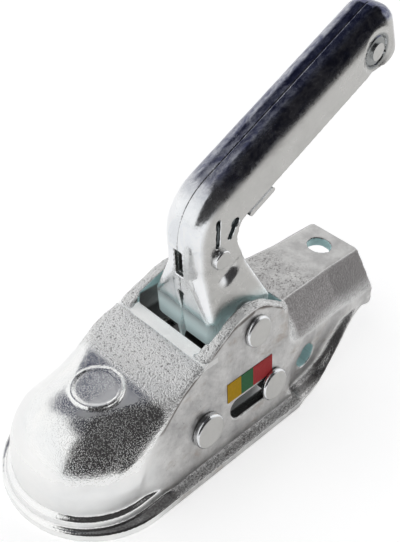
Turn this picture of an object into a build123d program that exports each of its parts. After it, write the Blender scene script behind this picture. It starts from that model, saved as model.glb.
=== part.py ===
from build123d import *
import math
import os

os.makedirs("parts", exist_ok=True)

# A trailer coupling head for a standard towing ball, in millimetres.
# Origin at the centre of the coupled ball, +X to the nose, +Y to the left side, +Z up.

# Ball seat and dome
BALL_D = 50.0
SEAT_PLAY = 0.5
DOME_WALL = 7.0
DOME_CREASE_HALF = 12.0
DOME_CREASE_Z = 31.2
DOME_BULGE = 5.8
NOSE_X = 4.0
NOSE_R = 34.5
NOSE_FOOT_R = 34.0
BAND_TOP_Z = 5.0
MOUTH_FLARE = 3.5
MOUTH_NECK_Z = -6.0
PAD_D = 23.2
PAD_TOP_Z = 33.0
PAD_TILT = 3.75
PAD_SINK = 3.5
PAD_RING_W = 1.3
PAD_RING_RISE = 0.5

# Pressed shell
SHELL_WALL = 5.0
RIM_Z = -17.0
LIP_T = 5.0
LIP_HALF = 42.5
BEAD_TOP_Z = -7.0
BEAD_ROUND = 1.6
BEAD_INSET = 0.5
SIDE_HALF = 35.5
SIDE_LEAN = 0.172
CROWN_X = (-11.0, -22.0, -35.0)
CROWN_EDGE_Z = (23.5, 35.2, 42.6)
CROWN_INSET = (0.8, 0.0, 0.0)
CREASE_HALF = (20.4, 28.0, 26.8)
CREASE_Z = (33.0, 36.0, 42.8)
CROWN_TOP_Z = (33.4, 36.8, 43.4)
FLANK_BULGE = (1.6, 0.2, 0.2)
ROOF_T = 6.0

# Hump that carries the handle pivot, and the handle window
HUMP_REAR_X = -97.0
HUMP_RISE_X = -54.5
HUMP_RISE_Z = 53.0
HUMP_TOP_X = -72.0
HUMP_TOP_Z = 56.0
HUMP_FALL_X = -80.0
HUMP_FALL_Z = 53.0
HUMP_END_Z = 42.5
WINDOW_HALF = 21.2
WINDOW_REAR_X = -95.0
WINDOW_CORNER = 6.0
LEDGE_L = 8.5
LEDGE_Z = 43.0
LEDGE_DROP = 1.0

# Tail socket for the drawbar tube
TUBE_D = 50.0
TUBE_PLAY = 0.4
TUBE_Z = 5.35
TAIL_TOP_Z = 35.35
TAIL_END_X = -168.5
TAIL_STRAIGHT_X = -140.0
TAIL_FLAT_HALF = 15.35
TAIL_SHOULDER_Z = 17.5
TAIL_SIDE_HALF = 30.0
TAIL_ROOT_FLAT_HALF = 17.5
TAIL_ROOT_TOP_Z = 36.8
TAIL_ROOT_SHOULDER_Z = 22.0
TAIL_ROOT_SIDE_HALF = 33.0
TAIL_CORNER = 4.0
SWEEP_START_X = -104.0
SWEEP_MID_X = -133.0
SWEEP_MID_Z = -4.0
SWEEP_TOP_X = -152.0
SWEEP_TOP_Z = 6.0
SWEEP_END_Z = 7.5
LIP_MID_HALF = 38.5
LIP_TOP_HALF = 33.0
LIP_END_HALF = 30.6
BOLT_HOLE_D = 13.0
TOP_HOLE_X = -154.5
SIDE_HOLE_X = -111.0
SIDE_HOLE_Z = 4.0

# Handle pivot, jaw pin and indicator slot
PIVOT_X = -70.3
PIVOT_Z = 43.3
PIVOT_D = 12.0
PIVOT_HEAD_D = 16.0
PIVOT_HEAD_T = 2.4
JAW_PIN_X = -35.5
JAW_PIN_Z = 8.5
JAW_PIN_D = 12.0
JAW_PIN_HEAD_D = 17.5
JAW_PIN_HEAD_T = 3.6
HEAD_EDGE = 0.9
SLOT_Z = 7.0
SLOT_H = 11.0
SLOT_FRONT_X = -52.0
SLOT_REAR_X = -89.5
INDICATOR_X = -81.0
INDICATOR_D = 9.6
DISC_D = 17.0
DISC_T = 2.6
HANDLE_SWING = 35.0
FIT_PLAY = 0.05
RUN_GAP = 0.4
COLLAR_D = 17.0
COLLAR_T = 3.0

# Handle: two pressed half shells that meet on the middle seam
GRIP_RISE = 29.7
ELBOW_X = -39.9
ELBOW_Z = 105.7
GRIP_LEN = 134.3
GRIP_DEPTH = 22.7
GRIP_END_DEPTH = 31.0
GRIP_END_L = 24.0
GRIP_HALF = 12.0
FOOT_HALF = 18.4
FOOT_ROUND = 4.0
FLARE_BELOW_PIN = 3.8
FLARE_SINK = 0.3
FLARE_END_Z = 52.0
HANDLE_WALL = 2.6
ELBOW_ROUND = 26.0
INNER_ELBOW_ROUND = 6.0
BACK_BEND_ROUND = 12.0
GRIP_END_ROUND = 9.6
GRIP_LIP_ROUND = 12.0
CROWN_ROUND = 9.4
LEG_FOOT_X = -51.5
LEG_FOOT_Z = 36.5
INNER_ELBOW_X = -68.5
BACK_BEND_X = -66.8
BACK_BEND_DROP = 9.4
BACK_FOOT_X = -88.6
BACK_FOOT_Z = 49.0
LEG_END_MARGIN = 4.4
LEG_SLOT_PLAY = 0.6
FINGER_END_FLAT = 0.2
SEAM_SLOT_TOP_Z = 84.7
SEAM_SLOT_END_Z = 70.5
SEAM_SLOT_HALF = 2.3
SEAM_WEDGE_TOP_Z = 61.0
SEAM_WEDGE_END_Z = 51.0
SEAM_WEDGE_HALF = 1.6
SEAM_GAP_TOP_Z = 50.0
SEAM_GAP_HALF = 1.8
SIDE_SLOT_X = -54.5
SIDE_SLOT_Z = 94.6
SIDE_SLOT_L = 15.0
SIDE_SLOT_W = 2.4
SIDE_SLOT_TILT = 84.5
KEY_X = -64.6
KEY_Z = 96.4
KEY_D = 5.0
KEY_TAIL_L = 7.5
KEY_TAIL_W = 3.0
KEY_TAIL_X = 1.4
KEY_TAIL_Z = -4.0
KEY_TAIL_TILT = -68.0
END_PIN_BACK = 17.4
END_PIN_DROP = 15.2
END_PIN_D = 5.0
END_PIN_HEAD_D = 8.0
END_PIN_HEAD_T = 1.2
END_DISH_D = 14.6
END_DISH_DEPTH = 1.4
END_SLEEVE_D = 6.4

# Safety catch under the grip
CATCH_PIN_X = -56.9
CATCH_PIN_Z = 81.6
CATCH_PIN_D = 6.0
CATCH_PIN_HEAD_D = 9.4
CATCH_PIN_HEAD_T = 2.6
CATCH_HALF = 3.5
CATCH_HUB_R = 6.0
CATCH_ARM_W = 7.0
CATCH_TAB_START = 26.5
CATCH_TAB_L = 17.0
CATCH_TAB_T = 2.8
CATCH_TAB_DROP = 8.9
CATCH_NOSE_X = -80.0
CATCH_NOSE_Z = 60.5
CATCH_SPRING_WIRE = 1.2
CATCH_SPRING_TURNS = 2.5

# Ball jaw that rocks on the jaw pin, and the block that pushes it
JAW_SWING = 15.0
JAW_HALF = 23.0
JAW_HUB_R = 9.0
JAW_DEPTH = 21.5
JAW_FRONT = 17.0
JAW_REAR = 6.5
JAW_BUSH_WALL = 1.5
BLOCK_HALF = 13.2
BLOCK_FRONT = 13.0
BLOCK_REAR = 9.0
BLOCK_UP = 10.0
BLOCK_DOWN = 10.0
BLOCK_ROUND = 5.0
ROLLER_D = 10.4
ROLLER_SIDE = 0.5

# Pivot tube, its washers and the handle spring
BUSH_WALL = 2.0
WASHER_D = 20.0
WASHER_T = 2.0
SPRING_WIRE = 3.0
SPRING_TURNS = 4.0
SPRING_PLAY = 0.6
COIL_PITCH = 1.06

# Indicator label above the slot
LABEL_L = 31.0
LABEL_H = 10.6
LABEL_T = 0.3
LABEL_FRONT_X = -49.8
LABEL_LOW_Z = 13.9

# Worked-out sizes
SEAT_R = BALL_D / 2 + SEAT_PLAY
DOME_TOP_Z = SEAT_R + DOME_WALL
PAD_TURN = math.radians(PAD_TILT)
PAD_PLANE = Plane((0, 0, PAD_TOP_Z), x_dir=(0, 1, 0), z_dir=(math.sin(PAD_TURN), 0, math.cos(PAD_TURN)))
SIDE_TILT = math.degrees(math.atan(SIDE_LEAN))
WALL_ACROSS = SHELL_WALL / math.cos(math.radians(SIDE_TILT))
CHANNEL_R = (TUBE_D + TUBE_PLAY) / 2
PIVOT_DROP = PIVOT_Z - SLOT_Z
CROWN_END_X = CROWN_X[-1]
WINDOW_FRONT_X = CROWN_END_X - LEDGE_L
FLARE_TOP_Z = CATCH_PIN_Z - CATCH_PIN_HEAD_D / 2 - FLARE_BELOW_PIN
FAR = 400.0


def side_half(z):
    """Half-width of the flat outer sides at height z."""
    return SIDE_HALF - SIDE_LEAN * z


def inner_half(z):
    """Half-width between the inner faces of the flat sides at height z."""
    return side_half(z) - WALL_ACROSS


def across(y):
    """Upright plane across the part at y, with X to the right and Z up."""
    return Plane.XZ.offset(-y)


def side_plane(x, z):
    """Plane lying on the left flat side, with its normal pointing outwards."""
    lean = math.radians(SIDE_TILT)
    return Plane(
        origin=(x, side_half(z), z),
        x_dir=(-1, 0, 0),
        z_dir=(0, math.cos(lean), math.sin(lean)),
    )


def outer_section(x, edge_half, edge_z, crown_z, foot_half, foot_z):
    """Arched section of the shell or of its hollow at x."""
    with BuildSketch(Plane.YZ.offset(x)) as section:
        with BuildLine():
            Polyline(
                (-edge_half, edge_z),
                (-foot_half, foot_z),
                (foot_half, foot_z),
                (edge_half, edge_z),
            )
            ThreePointArc((edge_half, edge_z), (0, crown_z), (-edge_half, edge_z))
        make_face()
    return section.sketch


def flank_middle(edge, crease, bulge):
    """Middle point of a flank that bulges out between edge and crease."""
    flank = math.hypot(edge[0] - crease[0], edge[1] - crease[1])
    return (
        (edge[0] + crease[0]) / 2 + bulge * (crease[1] - edge[1]) / flank,
        (edge[1] + crease[1]) / 2 + bulge * (edge[0] - crease[0]) / flank,
    )


def crown_section(x, edge, crease, top_z, bulge, foot_half):
    """Section of the crown at x: bulged flanks between edge and crease, and a nearly flat top."""
    mid = flank_middle(edge, crease, bulge)
    with BuildSketch(Plane.YZ.offset(x)) as section:
        with BuildLine():
            Polyline((-edge[0], edge[1]), (-foot_half, RIM_Z), (foot_half, RIM_Z), edge)
            ThreePointArc(edge, mid, crease)
            ThreePointArc(crease, (0, top_z), (-crease[0], crease[1]))
            ThreePointArc((-crease[0], crease[1]), (-mid[0], mid[1]), (-edge[0], edge[1]))
        make_face()
    return section.sketch


def tail_section(x, flat_half, top_z, shoulder_z, half):
    """Section of the tail with a flat top and sloping shoulders."""
    with BuildSketch(Plane.YZ.offset(x)) as section:
        with BuildLine():
            Polyline(
                (-half, RIM_Z),
                (half, RIM_Z),
                (half, shoulder_z),
                (flat_half, top_z),
                (-flat_half, top_z),
                (-half, shoulder_z),
                close=True,
            )
        make_face()
        shoulders = section.vertices().sort_by(Axis.Y)[2:]
        fillet(shoulders, TAIL_CORNER)
    return section.sketch


def tilted(x, z, angle):
    """Upright plane at (x, z) turned about the cross axis, top towards the nose."""
    turn = math.radians(angle)
    return Plane(
        origin=(x, 0, z),
        x_dir=(math.cos(turn), 0, -math.sin(turn)),
        z_dir=(0, -1, 0),
    )


# Coupling body: the outer forms
NOSE_EDGE = (NOSE_R, BAND_TOP_Z)
DOME_CREASE = (DOME_CREASE_HALF, DOME_CREASE_Z)
CAP_RISE = DOME_TOP_Z - DOME_CREASE_Z
CAP_R = (DOME_CREASE_HALF**2 + CAP_RISE**2) / (2 * CAP_RISE)
CAP_TURN = math.asin(DOME_CREASE_HALF / CAP_R) / 2
CAP_MID = (CAP_R * math.sin(CAP_TURN), DOME_TOP_Z - CAP_R * (1 - math.cos(CAP_TURN)))

with BuildPart() as nose_blank:
    with BuildSketch(Plane.YZ.offset(NOSE_X)):
        with BuildLine():
            Polyline((0, DOME_TOP_Z), (0, RIM_Z), (NOSE_FOOT_R, RIM_Z), NOSE_EDGE)
            ThreePointArc(NOSE_EDGE, flank_middle(NOSE_EDGE, DOME_CREASE, DOME_BULGE), DOME_CREASE)
            ThreePointArc(DOME_CREASE, CAP_MID, (0, DOME_TOP_Z))
        make_face()
    revolve(axis=Axis((NOSE_X, 0, 0), (0, 0, -1)), revolution_arc=180)

CROWN_SECTIONS = [
    crown_section(NOSE_X, NOSE_EDGE, DOME_CREASE, DOME_TOP_Z, DOME_BULGE, NOSE_FOOT_R),
]
for x, edge_z, inset, crease_half, crease_z, top_z, bulge in zip(
    CROWN_X, CROWN_EDGE_Z, CROWN_INSET, CREASE_HALF, CREASE_Z, CROWN_TOP_Z, FLANK_BULGE
):
    edge = (side_half(edge_z) - inset, edge_z)
    crease = (crease_half, crease_z)
    CROWN_SECTIONS.append(crown_section(x, edge, crease, top_z, bulge, side_half(RIM_Z)))

with BuildPart() as crown_blank:
    for section in CROWN_SECTIONS[:-1]:
        add(section)
    loft()

# Ramp from the valley behind the pad up to the ledge, between the flat sides
with BuildPart() as ramp_blank:
    for section in CROWN_SECTIONS[-2:]:
        add(section)
    loft(ruled=True)

with BuildPart() as hump_blank:
    with BuildSketch(Plane.YZ.offset(CROWN_END_X)):
        with BuildLine():
            Polyline(
                (-side_half(RIM_Z), RIM_Z),
                (side_half(RIM_Z), RIM_Z),
                (side_half(HUMP_TOP_Z), HUMP_TOP_Z),
                (-side_half(HUMP_TOP_Z), HUMP_TOP_Z),
                close=True,
            )
        make_face()
    extrude(amount=HUMP_REAR_X - CROWN_END_X)
    with BuildSketch(Plane.XZ):
        with BuildLine():
            Polyline(
                (HUMP_REAR_X, HUMP_END_Z),
                (HUMP_REAR_X, RIM_Z),
                (CROWN_END_X, RIM_Z),
                (CROWN_END_X, CROWN_EDGE_Z[2]),
                (HUMP_RISE_X, HUMP_RISE_Z),
            )
            ThreePointArc((HUMP_RISE_X, HUMP_RISE_Z), (HUMP_TOP_X, HUMP_TOP_Z), (HUMP_FALL_X, HUMP_FALL_Z))
            Line((HUMP_FALL_X, HUMP_FALL_Z), (HUMP_REAR_X, HUMP_END_Z))
        make_face()
    extrude(amount=SIDE_HALF * 2, both=True, mode=Mode.INTERSECT)

with BuildPart() as tail_blank:
    add(
        tail_section(
            HUMP_REAR_X,
            TAIL_ROOT_FLAT_HALF,
            TAIL_ROOT_TOP_Z,
            TAIL_ROOT_SHOULDER_Z,
            TAIL_ROOT_SIDE_HALF,
        )
    )
    for x in (TAIL_STRAIGHT_X, TAIL_END_X):
        add(tail_section(x, TAIL_FLAT_HALF, TAIL_TOP_Z, TAIL_SHOULDER_Z, TAIL_SIDE_HALF))
    loft(ruled=True)

BEAD_R = side_half(RIM_Z) - BEAD_INSET

with BuildPart() as bead_blank:
    with BuildSketch(Plane.XY.offset(RIM_Z)):
        with BuildLine():
            Line((NOSE_X, BEAD_R), (CROWN_END_X, BEAD_R))
            Line((CROWN_END_X, BEAD_R), (CROWN_END_X, -BEAD_R))
            Line((CROWN_END_X, -BEAD_R), (NOSE_X, -BEAD_R))
            ThreePointArc((NOSE_X, -BEAD_R), (NOSE_X + BEAD_R, 0), (NOSE_X, BEAD_R))
        make_face()
    extrude(amount=BEAD_TOP_Z - RIM_Z, taper=SIDE_TILT)
    bead_edge = bead_blank.edges().group_by(Axis.Z)[-1].filter_by(GeomType.CIRCLE)
    fillet(bead_edge, BEAD_ROUND)

# The rim's lip follows the lower edge and sweeps up to the tail
with BuildPart() as lip_blank:
    with BuildSketch(Plane.XZ):
        with BuildLine():
            low = Line((LIP_HALF, RIM_Z), (SWEEP_START_X, RIM_Z))
            low_sweep = Spline(
                (SWEEP_START_X, RIM_Z),
                (SWEEP_MID_X, SWEEP_MID_Z),
                (SWEEP_TOP_X, SWEEP_TOP_Z),
                (TAIL_END_X, SWEEP_END_Z),
                tangents=((-1, 0), (-1, 0)),
            )
            Line(low_sweep @ 1, (TAIL_END_X, SWEEP_END_Z + LIP_T))
            high_sweep = Spline(
                (TAIL_END_X, SWEEP_END_Z + LIP_T),
                (SWEEP_TOP_X, SWEEP_TOP_Z + LIP_T),
                (SWEEP_MID_X, SWEEP_MID_Z + LIP_T),
                (SWEEP_START_X, RIM_Z + LIP_T),
                tangents=((1, 0), (1, 0)),
            )
            Line(high_sweep @ 1, (LIP_HALF, RIM_Z + LIP_T))
            Line((LIP_HALF, RIM_Z + LIP_T), (LIP_HALF, RIM_Z))
        make_face()
    extrude(amount=LIP_HALF, both=True)
    with BuildSketch(Plane.XY.offset(RIM_Z)):
        with BuildLine():
            left = Spline(
                (SWEEP_START_X, LIP_HALF),
                (SWEEP_MID_X, LIP_MID_HALF),
                (SWEEP_TOP_X, LIP_TOP_HALF),
                (TAIL_END_X, LIP_END_HALF),
                tangents=((-1, 0), (-1, 0)),
            )
            Line((0, LIP_HALF), left @ 0)
            ThreePointArc((0, LIP_HALF), (LIP_HALF, 0), (0, -LIP_HALF))
            right = Spline(
                (SWEEP_START_X, -LIP_HALF),
                (SWEEP_MID_X, -LIP_MID_HALF),
                (SWEEP_TOP_X, -LIP_TOP_HALF),
                (TAIL_END_X, -LIP_END_HALF),
                tangents=((-1, 0), (-1, 0)),
            )
            Line((0, -LIP_HALF), right @ 0)
            Line(left @ 1, right @ 1)
        make_face()
    extrude(amount=SWEEP_END_Z + LIP_T - RIM_Z, mode=Mode.INTERSECT)

# Coupling body: the hollow below
with BuildPart() as hollow_blank:
    with BuildSketch(Plane.XZ):
        with BuildLine():
            Polyline(
                (0, SEAT_R),
                (0, RIM_Z),
                (SEAT_R + MOUTH_FLARE, RIM_Z),
                (SEAT_R, MOUTH_NECK_Z),
                (SEAT_R, 0),
            )
            ThreePointArc(
                (SEAT_R, 0),
                (SEAT_R / math.sqrt(2), SEAT_R / math.sqrt(2)),
                (0, SEAT_R),
            )
        make_face()
    revolve(axis=Axis.Z)
    add(outer_section(0, SEAT_R, 0, SEAT_R, SEAT_R + MOUTH_FLARE, RIM_Z))
    for x, edge_z, crown_z, inset in zip(CROWN_X, CROWN_EDGE_Z, CROWN_TOP_Z, CROWN_INSET):
        add(
            outer_section(
                x,
                inner_half(edge_z - ROOF_T) - inset,
                edge_z - ROOF_T,
                crown_z - ROOF_T,
                inner_half(RIM_Z) - inset,
                RIM_Z,
            )
        )
    loft()
    ledge_roof = outer_section(
        CROWN_END_X,
        inner_half(CROWN_EDGE_Z[-1] - ROOF_T),
        CROWN_EDGE_Z[-1] - ROOF_T,
        CROWN_TOP_Z[-1] - ROOF_T,
        inner_half(RIM_Z),
        RIM_Z,
    )
    extrude(ledge_roof, amount=-LEDGE_L)
    with BuildSketch(Plane.YZ.offset(WINDOW_FRONT_X)):
        with BuildLine():
            Polyline(
                (-inner_half(RIM_Z), RIM_Z),
                (inner_half(RIM_Z), RIM_Z),
                (inner_half(HUMP_TOP_Z), HUMP_TOP_Z),
                (-inner_half(HUMP_TOP_Z), HUMP_TOP_Z),
                close=True,
            )
        make_face()
    extrude(amount=WINDOW_REAR_X - WINDOW_FRONT_X)
    with BuildSketch(Plane.YZ.offset(WINDOW_REAR_X)):
        with BuildLine():
            Polyline(
                (-CHANNEL_R, TUBE_Z),
                (-CHANNEL_R, RIM_Z),
                (CHANNEL_R, RIM_Z),
                (CHANNEL_R, TUBE_Z),
            )
            ThreePointArc((CHANNEL_R, TUBE_Z), (0, TUBE_Z + CHANNEL_R), (-CHANNEL_R, TUBE_Z))
        make_face()
    extrude(amount=TAIL_END_X - WINDOW_REAR_X)

# Room above the ledge, rounded at its front corners
with BuildPart() as ledge_cut:
    with BuildSketch(Plane.XZ):
        with BuildLine():
            Polyline(
                (CROWN_END_X, LEDGE_Z),
                (WINDOW_FRONT_X - WINDOW_CORNER, LEDGE_Z - LEDGE_DROP),
                (WINDOW_FRONT_X - WINDOW_CORNER, HUMP_TOP_Z),
                (CROWN_END_X, HUMP_TOP_Z),
                close=True,
            )
        make_face()
    extrude(amount=WINDOW_HALF, both=True)
    fillet(ledge_cut.edges().filter_by(Axis.Z).group_by(Axis.X)[-1], WINDOW_CORNER)

with BuildPart() as coupling_body:
    add(nose_blank.part)
    add(crown_blank.part)
    add(ramp_blank.part)
    add(hump_blank.part)
    add(tail_blank.part)
    # The lower edge of the tail follows the sweep of the lip
    with BuildSketch(Plane.XZ):
        with BuildLine():
            sweep_edge = Spline(
                (SWEEP_START_X, RIM_Z),
                (SWEEP_MID_X, SWEEP_MID_Z),
                (SWEEP_TOP_X, SWEEP_TOP_Z),
                (TAIL_END_X, SWEEP_END_Z),
                tangents=((-1, 0), (-1, 0)),
            )
            Polyline(sweep_edge @ 1, (TAIL_END_X, RIM_Z), sweep_edge @ 0)
        make_face()
    extrude(amount=LIP_HALF, both=True, mode=Mode.SUBTRACT)
    add(bead_blank.part)
    add(lip_blank.part)
    add(hollow_blank.part, mode=Mode.SUBTRACT)
    # Handle window, and the bright ledge in front of it
    with BuildSketch(Plane.XY.offset(CROWN_EDGE_Z[0])):
        with Locations(((WINDOW_FRONT_X + WINDOW_REAR_X) / 2, 0)):
            RectangleRounded(WINDOW_FRONT_X - WINDOW_REAR_X, 2 * WINDOW_HALF, WINDOW_CORNER)
    extrude(amount=HUMP_TOP_Z, mode=Mode.SUBTRACT)
    add(ledge_cut.part, mode=Mode.SUBTRACT)
    # Round pad over the ball, tilted to the nose, with a raised ring at its edge
    with BuildSketch(PAD_PLANE):
        Circle(PAD_D / 2)
    extrude(amount=-PAD_SINK)
    with BuildSketch(PAD_PLANE):
        Circle(PAD_D / 2)
        Circle(PAD_D / 2 - PAD_RING_W, mode=Mode.SUBTRACT)
    extrude(amount=PAD_RING_RISE)
    # Bolt holes for the drawbar tube
    with BuildSketch(Plane.XY.offset(TUBE_Z)):
        with Locations((TOP_HOLE_X, 0)):
            Circle(BOLT_HOLE_D / 2)
    extrude(amount=TAIL_TOP_Z, mode=Mode.SUBTRACT)
    with BuildSketch(Plane.XZ):
        with Locations((SIDE_HOLE_X, SIDE_HOLE_Z)):
            Circle(BOLT_HOLE_D / 2)
        # Holes for the handle pivot and the jaw pin
        with Locations((PIVOT_X, PIVOT_Z)):
            Circle(PIVOT_D / 2 + FIT_PLAY)
        with Locations((JAW_PIN_X, JAW_PIN_Z)):
            Circle(JAW_PIN_D / 2 + FIT_PLAY)
        # Slot that the indicator pin runs in
        with Locations(((SLOT_FRONT_X + SLOT_REAR_X) / 2, SLOT_Z)):
            SlotOverall(SLOT_FRONT_X - SLOT_REAR_X, SLOT_H)
    extrude(amount=2 * LIP_HALF, both=True, mode=Mode.SUBTRACT)
coupling_body.part.label = "coupling_body"
export_step(coupling_body.part, "parts/coupling_body.step")


def fixed_pin(x, z, shank_d, head_d, head_t, tail_t):
    """Cross pin with a bevelled head on the left side and a plain end past the right collar."""
    reach = side_half(z)
    with BuildPart() as pin:
        with BuildSketch(across(reach)):
            with Locations((x, z)):
                Circle(shank_d / 2)
        extrude(amount=2 * reach + tail_t)
        with BuildSketch(side_plane(x, z)):
            Circle(head_d / 2)
        extrude(amount=head_t)
        rim = pin.edges().filter_by(GeomType.CIRCLE).sort_by(Axis.Y)[-1]
        chamfer(rim, HEAD_EDGE)
    return pin.part


def pin_collar(x, z, shank_d, collar_d, collar_t, gap):
    """Collar that lies on the right flat side around a cross pin."""
    with BuildPart() as collar:
        with BuildSketch(side_plane(x, z).offset(gap)):
            Circle(collar_d / 2)
        extrude(amount=collar_t)
        rim = collar.edges().filter_by(GeomType.CIRCLE).sort_by(Axis.Y)[-1]
        chamfer(rim, HEAD_EDGE)
        with BuildSketch(across(0)):
            with Locations((x, z)):
                Circle(shank_d / 2 + FIT_PLAY)
        extrude(amount=-FAR, mode=Mode.SUBTRACT)
    return mirror(collar.part, about=Plane.XZ)


def cross_tube(x, z, outer_d, inner_d, y_from, y_to):
    """Tube or washer along the cross direction between two y values."""
    with BuildPart() as tube:
        with BuildSketch(across(y_to)):
            with Locations((x, z)):
                Circle(outer_d / 2)
                Circle(inner_d / 2, mode=Mode.SUBTRACT)
        extrude(amount=y_to - y_from)
    return tube.part


def save(part, name):
    """Label a finished piece and write it to its own file."""
    part.label = name
    export_step(part, f"parts/{name}.step")


# Fixed pins and their collars
save(fixed_pin(PIVOT_X, PIVOT_Z, PIVOT_D, PIVOT_HEAD_D, PIVOT_HEAD_T, COLLAR_T), "handle_pivot_pin")
save(pin_collar(PIVOT_X, PIVOT_Z, PIVOT_D, COLLAR_D, COLLAR_T, 0), "pivot_pin_collar")
save(fixed_pin(JAW_PIN_X, JAW_PIN_Z, JAW_PIN_D, JAW_PIN_HEAD_D, JAW_PIN_HEAD_T, COLLAR_T), "jaw_pin")
save(pin_collar(JAW_PIN_X, JAW_PIN_Z, JAW_PIN_D, COLLAR_D, COLLAR_T, 0), "jaw_pin_collar")
WASHER_IN = FOOT_HALF + RUN_GAP
PIVOT_BORE = PIVOT_D + 2 * FIT_PLAY
save(
    cross_tube(PIVOT_X, PIVOT_Z, WASHER_D, PIVOT_BORE, WASHER_IN, WASHER_IN + WASHER_T),
    "pivot_washer_left",
)
save(
    cross_tube(PIVOT_X, PIVOT_Z, WASHER_D, PIVOT_BORE, -WASHER_IN - WASHER_T, -WASHER_IN),
    "pivot_washer_right",
)

# Indicator label above the slot
LABEL_MID_X = LABEL_FRONT_X - LABEL_L / 2
with BuildPart() as indicator_label:
    with BuildSketch(side_plane(LABEL_MID_X, LABEL_LOW_Z)):
        with Locations((0, LABEL_H / 2)):
            Rectangle(LABEL_L, LABEL_H)
    extrude(amount=LABEL_T)
save(indicator_label.part, "indicator_label")

# Handle lines: along the grip, square to it, and the corner where grip and leg meet
GRIP_COS = math.cos(math.radians(GRIP_RISE))
GRIP_SIN = math.sin(math.radians(GRIP_RISE))


def grip_point(back, down):
    """Point in the side view, back from the elbow corner and down from the seam line."""
    return (
        ELBOW_X - GRIP_COS * back - GRIP_SIN * down,
        ELBOW_Z + GRIP_SIN * back - GRIP_COS * down,
    )


def grip_plane(back, down):
    """Upright plane at a grip point, with its X axis along the grip towards the elbow."""
    x, z = grip_point(back, down)
    return tilted(x, z, GRIP_RISE)


LEG_LEN = math.hypot(LEG_FOOT_X - ELBOW_X, LEG_FOOT_Z - ELBOW_Z)
LEG_DOWN = ((LEG_FOOT_X - ELBOW_X) / LEG_LEN, (LEG_FOOT_Z - ELBOW_Z) / LEG_LEN)
LEG_BACK = (LEG_DOWN[1], -LEG_DOWN[0])


def leg_point(down, back):
    """Point in the side view, down from the elbow corner and back from the leg's front."""
    return (
        ELBOW_X + LEG_DOWN[0] * down + LEG_BACK[0] * back,
        ELBOW_Z + LEG_DOWN[1] * down + LEG_BACK[1] * back,
    )


# Swinging leg below the pivot, with a slot for the indicator pin
REST_TILT = math.atan2(INDICATOR_X - PIVOT_X, PIVOT_DROP)
SHUT_TILT = REST_TILT + math.radians(HANDLE_SWING)
SLOT_NEAR = PIVOT_DROP
SLOT_FAR = PIVOT_DROP / min(math.cos(REST_TILT), math.cos(SHUT_TILT))
LEG_SLOT_R = INDICATOR_D / 2 + LEG_SLOT_PLAY
FINGER_R = LEG_SLOT_R + LEG_END_MARGIN
FINGER = tilted(PIVOT_X, PIVOT_Z, -math.degrees(REST_TILT))
FINGER_END = SLOT_FAR + FINGER_R


def finger_point(along, forward):
    """Point in the side view, along the swinging leg from the pivot and forward of it."""
    spot = FINGER.from_local_coords((forward, -along, 0))
    return (spot.X, spot.Z)


INNER_ELBOW_BACK = (ELBOW_X - GRIP_SIN * GRIP_DEPTH - INNER_ELBOW_X) / GRIP_COS
END_TOP = grip_point(GRIP_LEN, 0)
END_LOW = grip_point(GRIP_LEN, GRIP_END_DEPTH)
END_FLARE = grip_point(GRIP_LEN - GRIP_END_L, GRIP_DEPTH)
INNER_ELBOW = grip_point(INNER_ELBOW_BACK, GRIP_DEPTH)
BACK_BEND = (BACK_BEND_X, INNER_ELBOW[1] - BACK_BEND_DROP)
BACK_FOOT = (BACK_FOOT_X, BACK_FOOT_Z)
LEG_FOOT = (LEG_FOOT_X, LEG_FOOT_Z)


FRONT_NORMAL = (-LEG_BACK[0], -LEG_BACK[1])
CORNER_SHARE = 1 / (1 + GRIP_SIN * FRONT_NORMAL[0] + GRIP_COS * FRONT_NORMAL[1])
LEG_REACH = (ELBOW_Z - RIM_Z) / -LEG_DOWN[1]
FORM_DEPTH = 2 * GRIP_END_DEPTH


def flare_section(z, half, corner_round, inset):
    """Level section of the leg at height z, rounded at its outer front corner, less an inset."""
    front = ELBOW_X + (LEG_DOWN[0] * (z - ELBOW_Z) + inset) / LEG_DOWN[1]
    with BuildSketch(Plane.XY.offset(z)) as section:
        with BuildLine():
            Polyline(
                (front, 0),
                (front, half - inset),
                (front - FORM_DEPTH, half - inset),
                (front - FORM_DEPTH, 0),
                close=True,
            )
        make_face()
        fillet(section.vertices().sort_by_distance((front, half))[0], corner_round - inset)
    return section.sketch


def handle_form(inset):
    """Left half of the handle's rounded form, less an inset, open downwards and backwards."""
    end_top = grip_point(GRIP_LEN - inset, inset)
    corner = (
        ELBOW_X - inset * CORNER_SHARE * (GRIP_SIN + FRONT_NORMAL[0]),
        ELBOW_Z - inset * CORNER_SHARE * (GRIP_COS + FRONT_NORMAL[1]),
    )
    with BuildPart() as form:
        with BuildSketch(Plane.XZ) as view:
            with BuildLine():
                Polyline(
                    end_top,
                    corner,
                    leg_point(LEG_REACH, inset),
                    grip_point(GRIP_LEN - inset, FORM_DEPTH),
                    close=True,
                )
            make_face()
            fillet(view.vertices().sort_by_distance(corner)[0], ELBOW_ROUND - inset)
            fillet(view.vertices().sort_by_distance(end_top)[0], GRIP_END_ROUND - inset)
        extrude(amount=inset - GRIP_HALF)
        outer_edges = form.faces().sort_by(Axis.Y)[-1].edges()
        fillet(outer_edges.sort_by(Axis.Z)[1:], CROWN_ROUND - inset)
        add(flare_section(FLARE_TOP_Z, GRIP_HALF, CROWN_ROUND, inset + FLARE_SINK))
        add(flare_section(FLARE_END_Z, FOOT_HALF, FOOT_ROUND, inset))
        add(flare_section(RIM_Z, FOOT_HALF, FOOT_ROUND, inset))
        loft(ruled=True)
    return form.part


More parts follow.
